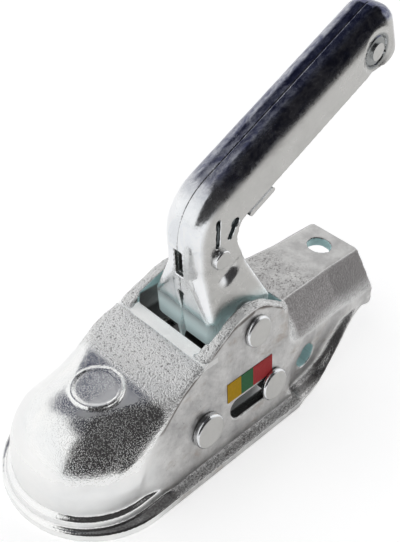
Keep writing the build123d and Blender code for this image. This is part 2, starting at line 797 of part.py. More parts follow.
with BuildPart() as handle_outer:
    with BuildSketch(Plane.XZ) as outer_view:
        with BuildLine():
            Polyline(
                END_TOP,
                (ELBOW_X, ELBOW_Z),
                LEG_FOOT,
                BACK_FOOT,
                BACK_BEND,
                INNER_ELBOW,
                END_FLARE,
                END_LOW,
                close=True,
            )
        make_face()
        fillet(outer_view.vertices().sort_by_distance(END_LOW)[0], GRIP_LIP_ROUND)
        fillet(outer_view.vertices().sort_by_distance(INNER_ELBOW)[0], INNER_ELBOW_ROUND)
        fillet(outer_view.vertices().sort_by_distance(END_FLARE)[0], GRIP_END_ROUND)
        fillet(outer_view.vertices().sort_by_distance(BACK_BEND)[0], BACK_BEND_ROUND)
    extrude(amount=-FOOT_HALF)
    add(handle_form(0), mode=Mode.INTERSECT)

BUSH_R = PIVOT_BORE / 2 + BUSH_WALL
END_PIN = grip_point(GRIP_LEN - END_PIN_BACK, END_PIN_DROP)

with BuildPart() as handle_shell_left:
    add(handle_outer.part)
    # Hollow, open at the back of the leg and below the grip
    add(handle_form(HANDLE_WALL), mode=Mode.SUBTRACT)
    # Side plate of the swinging leg
    with BuildSketch(across(FOOT_HALF)) as finger_view:
        with BuildLine():
            Polyline(
                finger_point(FINGER_END, -FINGER_R),
                finger_point(FINGER_END, FINGER_R),
                leg_point(LEG_LEN, CROWN_ROUND),
                (PIVOT_X, FLARE_END_Z),
                BACK_FOOT,
                close=True,
            )
        make_face()
        for end in (-FINGER_R, FINGER_R):
            corner = finger_point(FINGER_END, end)
            fillet(finger_view.vertices().sort_by_distance(corner)[0], FINGER_R - FINGER_END_FLAT)
    extrude(amount=HANDLE_WALL)
    # Holes for the pivot tube, the catch pin and the end rivet
    with BuildSketch(across(FOOT_HALF)):
        with Locations((PIVOT_X, PIVOT_Z)):
            Circle(BUSH_R + FIT_PLAY)
        with Locations((CATCH_PIN_X, CATCH_PIN_Z)):
            Circle(CATCH_PIN_D / 2 + FIT_PLAY)
        with Locations(END_PIN):
            Circle(END_PIN_D / 2 + FIT_PLAY)
        # Upright slot and keyhole in the side wall
        with Locations((SIDE_SLOT_X, SIDE_SLOT_Z)):
            SlotOverall(SIDE_SLOT_L, SIDE_SLOT_W, rotation=SIDE_SLOT_TILT)
        with Locations((KEY_X, KEY_Z)):
            Circle(KEY_D / 2)
        with Locations((KEY_X + KEY_TAIL_X, KEY_Z + KEY_TAIL_Z)):
            SlotOverall(KEY_TAIL_L, KEY_TAIL_W, rotation=KEY_TAIL_TILT)
    extrude(amount=2 * HANDLE_WALL + FOOT_HALF - GRIP_HALF, mode=Mode.SUBTRACT)
    # Slot that lets the indicator pin slide along the leg
    with BuildSketch(FINGER):
        with Locations((0, -(SLOT_NEAR + SLOT_FAR) / 2)):
            SlotCenterToCenter(SLOT_FAR - SLOT_NEAR, 2 * LEG_SLOT_R, rotation=90)
    extrude(amount=-2 * FOOT_HALF, mode=Mode.SUBTRACT)
    # Dished seat of the end rivet
    with BuildSketch(across(GRIP_HALF)):
        with Locations(END_PIN):
            Circle(END_DISH_D / 2)
    extrude(amount=END_DISH_DEPTH, mode=Mode.SUBTRACT)
    # Gaps along the seam: a slot below the elbow, a small wedge and the parting at the foot
    with BuildSketch(Plane.YZ.offset(ELBOW_X)):
        with Locations((SEAM_SLOT_HALF / 2, (SEAM_SLOT_TOP_Z + SEAM_SLOT_END_Z) / 2)):
            Rectangle(SEAM_SLOT_HALF, SEAM_SLOT_TOP_Z - SEAM_SLOT_END_Z)
        with BuildLine():
            Polyline(
                (0, SEAM_WEDGE_TOP_Z),
                (0, SEAM_WEDGE_END_Z),
                (SEAM_WEDGE_HALF, SEAM_WEDGE_TOP_Z),
                close=True,
            )
        make_face()
        with BuildLine():
            Polyline(
                (0, SEAM_GAP_TOP_Z),
                (0, LEG_FOOT_Z),
                (SEAM_GAP_HALF, LEG_FOOT_Z),
                close=True,
            )
        make_face()
    extrude(amount=LEG_FOOT_X - ELBOW_X - HANDLE_WALL, mode=Mode.SUBTRACT)
save(handle_shell_left.part, "handle_shell_left")
save(mirror(handle_shell_left.part, about=Plane.XZ), "handle_shell_right")

# Rivet and spacing sleeve at the grip's end
SHELL_IN = GRIP_HALF - HANDLE_WALL
END_SEAT = GRIP_HALF - END_DISH_DEPTH
with BuildPart() as handle_end_rivet:
    with BuildSketch(across(END_SEAT)):
        with Locations(END_PIN):
            Circle(END_PIN_D / 2)
    extrude(amount=2 * END_SEAT)
    for seat, out in ((END_SEAT, -1), (-END_SEAT, 1)):
        with BuildSketch(across(seat)):
            with Locations(END_PIN):
                Circle(END_PIN_HEAD_D / 2)
        extrude(amount=out * END_PIN_HEAD_T)
save(handle_end_rivet.part, "handle_end_rivet")
save(
    cross_tube(*END_PIN, END_SLEEVE_D, END_PIN_D + 2 * FIT_PLAY, -SHELL_IN, SHELL_IN),
    "handle_end_sleeve",
)

# Pivot tube pressed through both legs
save(
    cross_tube(PIVOT_X, PIVOT_Z, 2 * BUSH_R, PIVOT_BORE, -FOOT_HALF, FOOT_HALF),
    "handle_pivot_tube",
)

# Pin that carries the safety catch
CATCH_SEAT = GRIP_HALF + FIT_PLAY
with BuildPart() as catch_pin:
    with BuildSketch(across(CATCH_SEAT)):
        with Locations((CATCH_PIN_X, CATCH_PIN_Z)):
            Circle(CATCH_PIN_D / 2)
    extrude(amount=2 * CATCH_SEAT)
    for seat, out in ((CATCH_SEAT, -1), (-CATCH_SEAT, 1)):
        with BuildSketch(across(seat)):
            with Locations((CATCH_PIN_X, CATCH_PIN_Z)):
                Circle(CATCH_PIN_HEAD_D / 2)
        extrude(amount=out * CATCH_PIN_HEAD_T)
    heads = catch_pin.edges().filter_by(GeomType.CIRCLE).group_by(Axis.Y)
    fillet(heads[0] + heads[-1], HEAD_EDGE)
save(catch_pin.part, "catch_pin")

# Safety catch: a lever on the catch pin with a finger tab below the grip and a nose inside the legs
CATCH = grip_plane(0, 0)
TAB_LOW = GRIP_DEPTH + CATCH_TAB_DROP
CATCH_AT = CATCH.to_local_coords(Vector(CATCH_PIN_X, 0, CATCH_PIN_Z))
NOSE_AT = CATCH.to_local_coords(Vector(CATCH_NOSE_X, 0, CATCH_NOSE_Z))
NOSE_GAP = math.hypot(NOSE_AT.X - CATCH_AT.X, NOSE_AT.Y - CATCH_AT.Y)
NOSE_TILT = math.degrees(math.atan2(NOSE_AT.Y - CATCH_AT.Y, NOSE_AT.X - CATCH_AT.X))
TAB_MID = CATCH_TAB_START + CATCH_TAB_L / 2
TAB_HALF = SHELL_IN - RUN_GAP
with BuildPart() as safety_catch:
    with BuildSketch(CATCH):
        with Locations((CATCH_AT.X, CATCH_AT.Y)):
            Circle(CATCH_HUB_R)
        with Locations(((CATCH_AT.X + NOSE_AT.X) / 2, (CATCH_AT.Y + NOSE_AT.Y) / 2)):
            SlotCenterToCenter(NOSE_GAP, CATCH_ARM_W, rotation=NOSE_TILT)
        with BuildLine():
            Polyline(
                (CATCH_AT.X, CATCH_AT.Y + CATCH_HUB_R),
                (CATCH_AT.X, CATCH_AT.Y - CATCH_HUB_R),
                (-CATCH_TAB_START - CATCH_ARM_W, -TAB_LOW),
                (-CATCH_TAB_START - CATCH_ARM_W, CATCH_TAB_T - TAB_LOW),
                close=True,
            )
        make_face()
    extrude(amount=CATCH_HALF, both=True)
    with BuildSketch(CATCH):
        with Locations((-TAB_MID, CATCH_TAB_T / 2 - TAB_LOW)):
            SlotOverall(CATCH_TAB_L, CATCH_TAB_T)
    extrude(amount=TAB_HALF, both=True)
    with BuildSketch(CATCH):
        with Locations((CATCH_AT.X, CATCH_AT.Y)):
            Circle(CATCH_PIN_D / 2 + FIT_PLAY)
    extrude(amount=FAR, both=True, mode=Mode.SUBTRACT)
save(safety_catch.part, "safety_catch")


def coil(x, z, mean_r, wire, turns, y_start):
    """Close-wound wire coil around a cross axis, starting at y_start."""
    pitch = wire * COIL_PITCH
    with BuildPart() as winding:
        with BuildLine():
            turn = Helix(pitch, pitch * turns, mean_r, center=(x, y_start, z), direction=(0, 1, 0))
        with BuildSketch(Plane(origin=turn @ 0, z_dir=turn % 0)):
            Circle(wire / 2)
        sweep(path=turn, is_frenet=True)
    return winding.part


CATCH_COIL_R = CATCH_PIN_D / 2 + SPRING_PLAY + CATCH_SPRING_WIRE / 2
save(
    coil(
        CATCH_PIN_X,
        CATCH_PIN_Z,
        CATCH_COIL_R,
        CATCH_SPRING_WIRE,
        CATCH_SPRING_TURNS,
        CATCH_HALF + RUN_GAP + CATCH_SPRING_WIRE / 2,
    ),
    "catch_spring",
)

# Handle spring wound around the pivot tube between the legs
SPRING_R = BUSH_R + SPRING_PLAY + SPRING_WIRE / 2
SPRING_W = SPRING_WIRE * COIL_PITCH * SPRING_TURNS
save(
    coil(PIVOT_X, PIVOT_Z, SPRING_R, SPRING_WIRE, SPRING_TURNS, -SPRING_W / 2),
    "handle_spring",
)

# Indicator pin, its discs on both sides, the slot rollers and the block between the legs
INDICATOR_REACH = side_half(SLOT_Z) + RUN_GAP
with BuildPart() as indicator_pin:
    with BuildSketch(across(INDICATOR_REACH)):
        with Locations((INDICATOR_X, SLOT_Z)):
            Circle(INDICATOR_D / 2)
    extrude(amount=2 * INDICATOR_REACH + DISC_T)
    with BuildSketch(side_plane(INDICATOR_X, SLOT_Z).offset(RUN_GAP)):
        Circle(DISC_D / 2)
    extrude(amount=DISC_T)
    disc_rim = indicator_pin.edges().filter_by(GeomType.CIRCLE).sort_by(Axis.Y)[-1]
    chamfer(disc_rim, HEAD_EDGE)
save(indicator_pin.part, "indicator_pin")
save(pin_collar(INDICATOR_X, SLOT_Z, INDICATOR_D, DISC_D, DISC_T, RUN_GAP), "indicator_disc")
INDICATOR_BORE = INDICATOR_D + 2 * FIT_PLAY
ROLLER_OUT = side_half(SLOT_Z + ROLLER_D / 2) - ROLLER_SIDE
ROLLER_IN = inner_half(SLOT_Z) - ROLLER_SIDE
save(
    cross_tube(INDICATOR_X, SLOT_Z, ROLLER_D, INDICATOR_BORE, ROLLER_IN, ROLLER_OUT),
    "slot_roller_left",
)
save(
    cross_tube(INDICATOR_X, SLOT_Z, ROLLER_D, INDICATOR_BORE, -ROLLER_OUT, -ROLLER_IN),
    "slot_roller_right",
)
with BuildPart() as pressure_block:
    with BuildSketch(Plane.XZ):
        with Locations((INDICATOR_X + (BLOCK_FRONT - BLOCK_REAR) / 2, SLOT_Z + (BLOCK_UP - BLOCK_DOWN) / 2)):
            RectangleRounded(BLOCK_FRONT + BLOCK_REAR, BLOCK_UP + BLOCK_DOWN, BLOCK_ROUND)
        with Locations((INDICATOR_X, SLOT_Z)):
            Circle(INDICATOR_BORE / 2, mode=Mode.SUBTRACT)
    extrude(amount=BLOCK_HALF, both=True)
save(pressure_block.part, "pressure_block")

# Ball jaw, shown swung back from the ball, and the bush that it rocks on
JAW = tilted(JAW_PIN_X, JAW_PIN_Z, JAW_SWING)
JAW_BUSH_R = JAW_PIN_D / 2 + FIT_PLAY + JAW_BUSH_WALL
with BuildPart() as ball_jaw:
    with BuildSketch(JAW):
        Circle(JAW_HUB_R)
        with BuildLine():
            Polyline(
                (-JAW_REAR, 0),
                (-JAW_REAR, -JAW_DEPTH),
                (JAW_FRONT, -JAW_DEPTH),
                (JAW_FRONT, -JAW_HUB_R),
                (JAW_HUB_R, 0),
                close=True,
            )
        make_face()
        Circle(JAW_BUSH_R + FIT_PLAY, mode=Mode.SUBTRACT)
    extrude(amount=JAW_HALF, both=True)
    with Locations(JAW.from_local_coords((-JAW_PIN_X, -JAW_PIN_Z, 0))):
        Sphere(SEAT_R, mode=Mode.SUBTRACT)
save(ball_jaw.part, "ball_jaw")
JAW_BUSH_HALF = inner_half(JAW_PIN_Z + JAW_BUSH_R) - RUN_GAP
save(
    cross_tube(
        JAW_PIN_X,
        JAW_PIN_Z,
        2 * JAW_BUSH_R,
        JAW_PIN_D + 2 * FIT_PLAY,
        -JAW_BUSH_HALF,
        JAW_BUSH_HALF,
    ),
    "jaw_bush",
)
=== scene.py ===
"""Trailer coupling head: softened forgings, plated finishes, studio and camera."""

import logging
import math
from dataclasses import dataclass
from enum import Enum

import bpy
import numpy as np
from mathutils import Matrix, Vector


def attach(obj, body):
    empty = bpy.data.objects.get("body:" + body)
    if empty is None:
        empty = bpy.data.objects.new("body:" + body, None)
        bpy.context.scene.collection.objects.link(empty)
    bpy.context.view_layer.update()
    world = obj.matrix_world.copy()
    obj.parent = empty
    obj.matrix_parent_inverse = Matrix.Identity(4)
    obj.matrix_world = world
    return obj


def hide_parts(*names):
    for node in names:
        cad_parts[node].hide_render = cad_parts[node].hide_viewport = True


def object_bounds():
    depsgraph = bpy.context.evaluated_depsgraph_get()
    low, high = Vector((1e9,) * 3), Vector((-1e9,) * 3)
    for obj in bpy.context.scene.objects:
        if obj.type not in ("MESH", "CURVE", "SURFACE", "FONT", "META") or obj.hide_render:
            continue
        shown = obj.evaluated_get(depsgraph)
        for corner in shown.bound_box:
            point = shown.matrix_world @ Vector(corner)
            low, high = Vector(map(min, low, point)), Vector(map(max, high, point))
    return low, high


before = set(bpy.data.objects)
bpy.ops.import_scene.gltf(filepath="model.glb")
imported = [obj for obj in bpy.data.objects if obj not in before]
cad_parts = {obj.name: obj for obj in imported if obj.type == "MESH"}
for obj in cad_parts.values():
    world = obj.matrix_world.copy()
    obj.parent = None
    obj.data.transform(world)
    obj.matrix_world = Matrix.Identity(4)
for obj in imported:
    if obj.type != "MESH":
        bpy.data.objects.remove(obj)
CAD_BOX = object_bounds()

MM = 0.001
WELD_REACH = 0.001
SMOOTHING = 0.5
log = logging.getLogger("coupling")

Colour = tuple[float, float, float]
Point = tuple[float, float, float]
Edge = tuple[float, float]
Socket = bpy.types.NodeSocket
Share = Socket | float
Paint = Socket | Colour


class Ride(Enum):
    """Moving bodies that carry the softened pieces."""

    BODY = "body"
    HANDLE = "handle"
    SLIDER = "slider"


class Slot(Enum):
    """Material slots of the record."""

    BODY = "body_zinc"
    HANDLE = "handle_zinc"
    CATCH = "catch_zinc"
    PIN = "pin_zinc"
    INNER = "inner_steel"
    SPRING = "spring_steel"
    LABEL = "label_film"


@dataclass(frozen=True)
class Cloud:
    """Cloudy noise with features of about 1 / scale millimetres, and the tones that are cut from it."""

    scale: float
    detail: float = 2.0
    rough: float = 0.5
    warp: float = 0.0
    stretch: Point | None = None
    cut: Edge = (0.3, 0.7)
    tones: Edge = (0.0, 1.0)


class Graph:
    """Node tree of one material or world, with short calls for the nodes that they share."""

    def __init__(self, owner: bpy.types.Material | bpy.types.World) -> None:
        """Empties the owner's tree and finds places in it.

        Args:
            owner: material or world to draw.
        """
        owner.use_nodes = True
        self.owner = owner
        self.tree = owner.node_tree
        self.tree.nodes.clear()
        self.place = self.node("ShaderNodeTexCoord").outputs
        self.normal_split = self.node("ShaderNodeSeparateXYZ", {0: self.place["Normal"]})
        scaled = self.node("ShaderNodeVectorMath", {0: self.place["Object"], 3: 1 / MM}, operation="SCALE")
        self.mm = scaled.outputs["Vector"]
        self.mm_split = self.node("ShaderNodeSeparateXYZ", {0: self.mm})

    @classmethod
    def of_material(cls, name: str) -> "Graph":
        """Graph of a new material."""
        return cls(bpy.data.materials.new(name))

    @property
    def x(self) -> Socket:
        """Place along the part, in millimetres."""
        return self.mm_split.outputs["X"]

    @property
    def y(self) -> Socket:
        """Place across the part, in millimetres."""
        return self.mm_split.outputs["Y"]

    @property
    def z(self) -> Socket:
        """Height, in millimetres."""
        return self.mm_split.outputs["Z"]

    @property
    def aside(self) -> Socket:
        """Distance from the middle plane, in millimetres."""
        return self.calc("ABSOLUTE", self.y)

    @property
    def up(self) -> Socket:
        """Share of the surface normal that points up."""
        return self.normal_split.outputs["Z"]

    @property
    def outward(self) -> Socket:
        """Share of the surface normal that points away from the middle plane."""
        return self.calc("MULTIPLY", self.normal_split.outputs["Y"], self.calc("SIGN", self.y))

    @property
    def sideways(self) -> Socket:
        """Share of the surface normal that points to either side."""
        return self.calc("ABSOLUTE", self.outward)

    def node(self, kind: str, inputs: dict | None = None, **settings: object) -> bpy.types.Node:
        """Adds a node and feeds it.

        Args:
            kind: Blender's name of the node type.
            inputs: input name or number to a value or to a socket to link.
            settings: attributes of the node.

        Returns:
            The new node.
        """
        made = self.tree.nodes.new(kind)
        for key, value in settings.items():
            setattr(made, key, value)
        for key, value in (inputs or {}).items():
            if isinstance(value, Socket):
                self.tree.links.new(value, made.inputs[key])
            else:
                made.inputs[key].default_value = value
        return made

    def calc(self, operation: str, a: Share, b: Share = 0.0) -> Socket:
        """Result of a math node on a and b."""
        return self.node("ShaderNodeMath", {0: a, 1: b}, operation=operation).outputs[0]

    def both(self, *shares: Share) -> Socket:
        """Product of several shares.

        Args:
            shares: shares to multiply, 0 to 1 each.

        Returns:
            The product.
        """
        result = shares[0]
        for share in shares[1:]:
            result = self.calc("MULTIPLY", result, share)
        return result

    def either(self, *shares: Share) -> Socket:
        """Largest of several shares.

        Args:
            shares: shares to compare, 0 to 1 each.

        Returns:
            The largest.
        """
        result = shares[0]
        for share in shares[1:]:
            result = self.calc("MAXIMUM", result, share)
        return result

    def span(self, value: Share, low: float, high: float, start: float = 0.0, end: float = 1.0) -> Socket:
        """Smooth step of value from start at low to end at high.

        Args:
            value: value to step.
            low: where the step starts.
            high: where it is full.
            start: result at low and before it.
            end: result at high and past it.

        Returns:
            The stepped value.
        """
        inputs = {0: value, 1: low, 2: high, 3: start, 4: end}
        step = self.node("ShaderNodeMapRange", inputs, interpolation_type="SMOOTHSTEP", clamp=True)
        return step.outputs[0]

    def fade(self, share: Share, end: float) -> Socket:
        """Share that falls from 1 to end as another share grows."""
        return self.span(share, 0.0, 1.0, 1.0, end)

    def between(self, value: Share, limits: Edge, soft: float) -> Socket:
        """Share of value that lies between two limits with soft ends."""
        low, high = limits
        return self.both(self.span(value, low - soft, low + soft), self.span(value, high + soft, high - soft))

    def within(self, a: Share, b: Share, centre: Edge, radius: float, soft: float) -> Socket:
        """Share of places a, b that lie in a circle.

        Args:
            a: first place, in millimetres.
            b: second place, in millimetres.
            centre: centre of the circle.
            radius: radius of the circle.
            soft: half width of its soft edge.

        Returns:
            The share, 0 to 1.
        """
        across = self.calc("SUBTRACT", a, centre[0])
        along = self.calc("SUBTRACT", b, centre[1])
        square = self.calc("ADD", self.both(across, across), self.both(along, along))
        return self.span(self.calc("SQRT", square), radius + soft, radius - soft)

    def noise(self, cloud: Cloud) -> Socket:
        """Cloudy noise, 0 to 1.

        Args:
            cloud: kind of noise.

        Returns:
            The noise at each place.
        """
        place = self.mm
        if cloud.stretch is not None:
            scaled = self.node("ShaderNodeVectorMath", {0: self.mm, 1: cloud.stretch}, operation="MULTIPLY")
            place = scaled.outputs["Vector"]
        inputs = {"Vector": place, "Scale": cloud.scale, "Detail": cloud.detail, "Roughness": cloud.rough,
                  "Distortion": cloud.warp}
        return self.node("ShaderNodeTexNoise", inputs).outputs["Fac"]

    def tone(self, cloud: Cloud) -> Socket:
        """Noise cut to its tones."""
        return self.span(self.noise(cloud), *cloud.cut, *cloud.tones)

    def shades(self, cloud: Cloud, dark: Colour, light: Colour) -> Socket:
        """Colour that turns from dark to light through the noise.

        Args:
            cloud: kind of noise.
            dark: colour at the lower cut.
            light: colour at the upper cut.

        Returns:
            The colour at each place.
        """
        made = self.node("ShaderNodeValToRGB", {0: self.noise(cloud)})
        for element, place, colour in zip(made.color_ramp.elements, cloud.cut, (dark, light)):
            element.position = place
            element.color = (*colour, 1.0)
        return made.outputs["Color"]

    def blend(self, share: Share, a: Paint, b: Paint) -> Socket:
        """Colour a turning into colour b as share grows.

        Args:
            share: how much of b shows.
            a: first colour.
            b: second colour.

        Returns:
            The mixed colour.
        """
        made = self.node("ShaderNodeMix", data_type="RGBA")
        for name, value in (("Factor_Float", share), ("A_Color", a), ("B_Color", b)):
            socket = next(s for s in made.inputs if s.identifier == name)
            if isinstance(value, Socket):
                self.tree.links.new(value, socket)
            else:
                socket.default_value = (*value, 1.0)
        return next(s for s in made.outputs if s.identifier == "Result_Color")

    def bump(self, height: Share, depth: float, under: Socket | None = None, strength: Share = 1.0) -> Socket:
        """Normal raised by height.

        Args:
            height: height, 0 to 1.
            depth: millimetres for a height of 1.
            under: normal that the relief lies on.
            strength: how much of the relief shows.

        Returns:
            The new normal.
        """
        inputs = {"Height": height, "Distance": depth * MM, "Strength": strength}
        if under is not None:
            inputs["Normal"] = under
        return self.node("ShaderNodeBump", inputs).outputs["Normal"]

    def finish(self, **inputs: object) -> bpy.types.Material:
        """Ends the material with one principled shader.

        Args:
            inputs: shader inputs, with _ for a space in their names.

        Returns:
            The material.
        """
        fed = {key.replace("_", " "): value for key, value in inputs.items()}
        shader = self.node("ShaderNodeBsdfPrincipled", fed)
        self.node("ShaderNodeOutputMaterial", {"Surface": shader.outputs[0]})
        return self.owner


@dataclass(frozen=True)
class BodyZones:
    """Shares of the body's zones at each place."""

    top: Socket
    lip: Socket
    shoulder: Socket
    level: Socket
    ledge: Socket
    nose: Socket
    grained: Socket
    coarse: Socket
    shaft: Socket
    deep: Socket
    stipple: Socket


@dataclass(frozen=True)
class ForgedZinc:
    """Grained zinc plate of the coupling body."""

    bright: Colour = (0.86, 0.86, 0.85)
    dull: Colour = (0.80, 0.81, 0.81)
    side_bright: Colour = (0.56, 0.555, 0.545)
    side_dull: Colour = (0.33, 0.325, 0.325)
    stain: Colour = (0.30, 0.24, 0.19)
    edge_line_dark: Colour = (0.10, 0.086, 0.076)
    # painted shade in the grain's hollows and on the tail's shoulder; also the colour of the dark winding marks,
    # the side flecks and the lip's darker band
    shade: Colour = (0.16, 0.15, 0.15)
    # painted light: teal tint and emitted colour of the window's walls and holes
    teal: Colour = (0.46, 0.66, 0.67)
    # painted shade: near black for the inner walls low in the body and the side slot's edge
    inner_shade: Colour = (0.012, 0.011, 0.010)

    top_up: Edge = (0.22, 0.45)
    level_up: Edge = (0.9, 0.97)
    flat_up: Edge = (0.94, 0.98)
    flat_y: Edge = (-8.0, 8.0)
    shoulder_up: Edge = (0.32, 0.90)
    shoulder_soft: float = 0.08
    tail_x: Edge = (-97.0, -104.0)
    nose_x: Edge = (-18.0, -8.0)
    front_x: Edge = (-16.0, 6.0)
    lip_up: Edge = (0.5, 0.75)
    lip_z: Edge = (-8.0, -10.0)
    lip_x: Edge = (34.0, 16.0)
    ledge_x: Edge = (-44.5, -35.6)
    ledge_z: Edge = (40.5, 43.2)
    ledge_soft: Edge = (0.3, 0.15)
    cove_z: Edge = (17.0, 25.0)
    speck_z: Edge = (2.0, 6.0)
    window_x: Edge = (-95.6, -42.0)
    window_y: Edge = (22.6, 22.2)
    window_up: Edge = (0.6, 0.4)
    window_soft: float = 0.4
    inner_out: Edge = (-0.4, -0.6)
    deep_z: Edge = (34.0, 30.0)
    deep_x: Edge = (-97.0, -96.0)
    side_slot_x: Edge = (-90.0, -51.5)
    side_slot_z: Edge = (1.3, 12.7)
    side_slot_soft: Edge = (0.2, 0.1)
    side_slot_out: Edge = (0.75, 0.6)
    top_hole: Edge = (-154.5, 0.0)
    side_hole: Edge = (-111.0, 4.0)
    hole_radius: float = 6.65
    hole_soft: float = 0.1
    edge_line: tuple[Edge, ...] = (
        (-11.0, 23.5), (-22.0, 35.2), (-35.0, 42.6), (-54.5, 53.0), (-72.0, 56.0), (-80.0, 53.0), (-97.0, 42.5),
    )
    edge_below: Edge = (0.3, 2.0)
    edge_soft: float = 0.6

    stipple: Cloud = Cloud(1.15, 3.0, 0.62, 0.2)
    stipple_depth: float = 0.6
    specks: Cloud = Cloud(2.0, 1.0, cut=(0.54, 0.68))
    speck_depth: float = 0.042
    swell: Cloud = Cloud(0.10)
    swell_depth: float = 0.15
    skin: Cloud = Cloud(1.3, 3.0, 0.6)
    skin_depth: float = 0.05
    top_cloud: Cloud = Cloud(0.045, 4.0, 0.6, 0.8, cut=(0.3, 0.62))
    side_cloud: Cloud = Cloud(0.07, 6.0, 0.7, 0.2, cut=(0.34, 0.64))
    streaks: Cloud = Cloud(0.09, 6.0, 0.75, 0.3, (0.7, 1.0, 1.3), (0.52, 0.72), (0.0, 0.55))
    flecks: Cloud = Cloud(0.9, 4.0, 0.75, cut=(0.58, 0.70), tones=(0.0, 0.55))
    edge_line_breakup: Cloud = Cloud(0.15, 3.0, cut=(0.3, 0.5), tones=(0.4, 0.9))
    level_cloud: Cloud = Cloud(0.12, 5.0, 0.7, cut=(0.35, 0.65), tones=(0.15, 0.6))
    satin: Cloud = Cloud(0.3, 4.0, 0.7, cut=(0.25, 0.75), tones=(0.3, 0.46))
    worms: Cloud = Cloud(0.5, 2.0, 0.5, 0.8, (1.0, 1.4, 1.0))
    worm_gaps: Cloud = Cloud(0.35, cut=(0.38, 0.48))
    worm_middle: float = 0.5
    worm_line: Edge = (0.045, 0.018)
    worm_x: Edge = (-142.0, -118.0)
    worm_share: float = 0.9

    # painted shade in the hollows of the coarse grain
    pore_shade_cut: Edge = (0.46, 0.34)
    pore_shade_share: float = 0.85
    relief_cut: Edge = (0.3, 0.7)
    # painted shade on the tail's shoulder, stronger higher up and a little lighter on the stipple's high points
    cove_shade_share: Edge = (0.4, 1.0)
    cove_shade_grain: Edge = (1.0, 0.8)
    lip_grain: Edge = (0.8, 0.2)
    level_share: float = 0.85
    level_grain: float = 0.1
    ledge_grain: float = 0.05
    tail_grain: float = 0.4
    grain_gloss: float = 0.4
    shaft_dull: float = 0.75
    ledge_dull: float = 0.85
    grain_dull: float = 0.4
    flat_dull: Edge = (0.1, 0.4)
    least_metal: float = 0.1
    # painted light: the window's walls and the holes glow faint teal, the ledge glows white
    shaft_glow: float = 0.08
    ledge_glow: float = 0.3

    def material(self) -> bpy.types.Material:
        """Makes the material.

        Returns:
            Zinc that is stippled where it faces up and satin on the sides.
        """
        g = Graph.of_material(Slot.BODY.value)
        at = self.zones(g)
        flat = g.both(at.nose, g.span(g.up, *self.flat_up), g.span(g.y, *self.flat_y, *self.flat_dull))
        dull = g.either(at.deep, g.both(at.shaft, self.shaft_dull), g.both(at.ledge, self.ledge_dull),
                        g.both(at.coarse, self.grain_dull), flat)
        # Painted light: the ledge glows white and the window's walls and holes glow faintly teal.
        return g.finish(
            Base_Color=self.colour(g, at), Normal=self.relief(g, at), Metallic=g.fade(dull, self.least_metal),
            Roughness=g.both(g.tone(self.satin), g.fade(at.grained, self.grain_gloss)),
            Emission_Color=g.blend(at.ledge, self.teal, self.bright),
            Emission_Strength=g.either(g.both(at.shaft, self.shaft_glow), g.both(at.ledge, self.ledge_glow)))

    def zones(self, g: Graph) -> BodyZones:
        """Finds the zones of the body.

        Args:
            g: graph of the material.

        Returns:
            The share of each zone.
        """
        top = g.span(g.up, *self.top_up)
        tail = g.span(g.x, *self.tail_x)
        nose = g.span(g.x, *self.nose_x)
        lip = g.both(g.span(g.z, *self.lip_z), g.span(g.up, *self.lip_up))
        level = g.both(tail, g.span(g.up, *self.level_up))
        ledge = g.both(g.between(g.x, self.ledge_x, self.ledge_soft[0]),
                       g.between(g.z, self.ledge_z, self.ledge_soft[1]))
        grained = g.both(g.either(top, lip), g.fade(level, self.level_grain), g.fade(ledge, self.ledge_grain))
        window = g.both(g.between(g.x, self.window_x, self.window_soft), g.span(g.aside, *self.window_y),
                        g.span(g.up, *self.window_up))
        shaft = g.either(window, g.within(g.x, g.y, self.top_hole, self.hole_radius, self.hole_soft),
                         g.within(g.x, g.z, self.side_hole, self.hole_radius, self.hole_soft))
        inner = g.either(g.span(g.outward, *self.inner_out), self.slot_wall(g))
        return BodyZones(
            top=top, lip=lip, level=level, ledge=ledge, nose=nose, grained=grained, shaft=shaft,
            shoulder=g.both(tail, g.between(g.up, self.shoulder_up, self.shoulder_soft)),
            coarse=g.both(grained, g.fade(nose, 0.0), g.fade(tail, self.tail_grain)),
            deep=g.both(inner, g.span(g.z, *self.deep_z), g.span(g.x, *self.deep_x)),
            stipple=g.noise(self.stipple))

    def relief(self, g: Graph, at: BodyZones) -> Socket:
        """Normal with soft swells, a fine skin, specks on the nose and stipple on the other tops.

        Args:
            g: graph of the material.
            at: zones of the body.

        Returns:
            The normal.
        """
        normal = g.bump(g.noise(self.swell), self.swell_depth)
        normal = g.bump(g.noise(self.skin), self.skin_depth, normal)
        speckled = g.both(at.grained, at.nose, g.span(g.z, *self.speck_z))
        normal = g.bump(g.tone(self.specks), self.speck_depth, normal, speckled)
        return g.bump(at.stipple, self.stipple_depth, normal, at.coarse)

    def colour(self, g: Graph, at: BodyZones) -> Socket:
        """Colour of every zone, from the broad ones to the small.

        Args:
            g: graph of the material.
            at: zones of the body.

        Returns:
            The colour.
        """
        colour = g.blend(g.either(at.top, g.span(g.x, *self.front_x)), self.sides(g), self.tops(g, at))
        colour = g.blend(g.both(at.level, self.level_share), colour, self.side_bright)
        colour = g.blend(g.both(at.level, g.tone(self.level_cloud)), colour, self.side_dull)
        # painted shade on the tail's sloping shoulder, stronger higher up
        cove = g.both(at.shoulder, g.span(g.z, *self.cove_z, *self.cove_shade_share),
                      g.span(at.stipple, *self.relief_cut, *self.cove_shade_grain))
        brim = g.both(at.lip, g.span(g.x, *self.lip_x), g.span(at.stipple, *self.relief_cut, *self.lip_grain))
        for share in (cove, self.winding_marks(g, at), brim):
            colour = g.blend(share, colour, self.shade)
        # painted shade: the inner walls low in the body and the side slot's edge are painted near black; painted
        # light: the window's walls and the holes turn teal
        return g.blend(at.deep, g.blend(at.shaft, colour, self.teal), self.inner_shade)

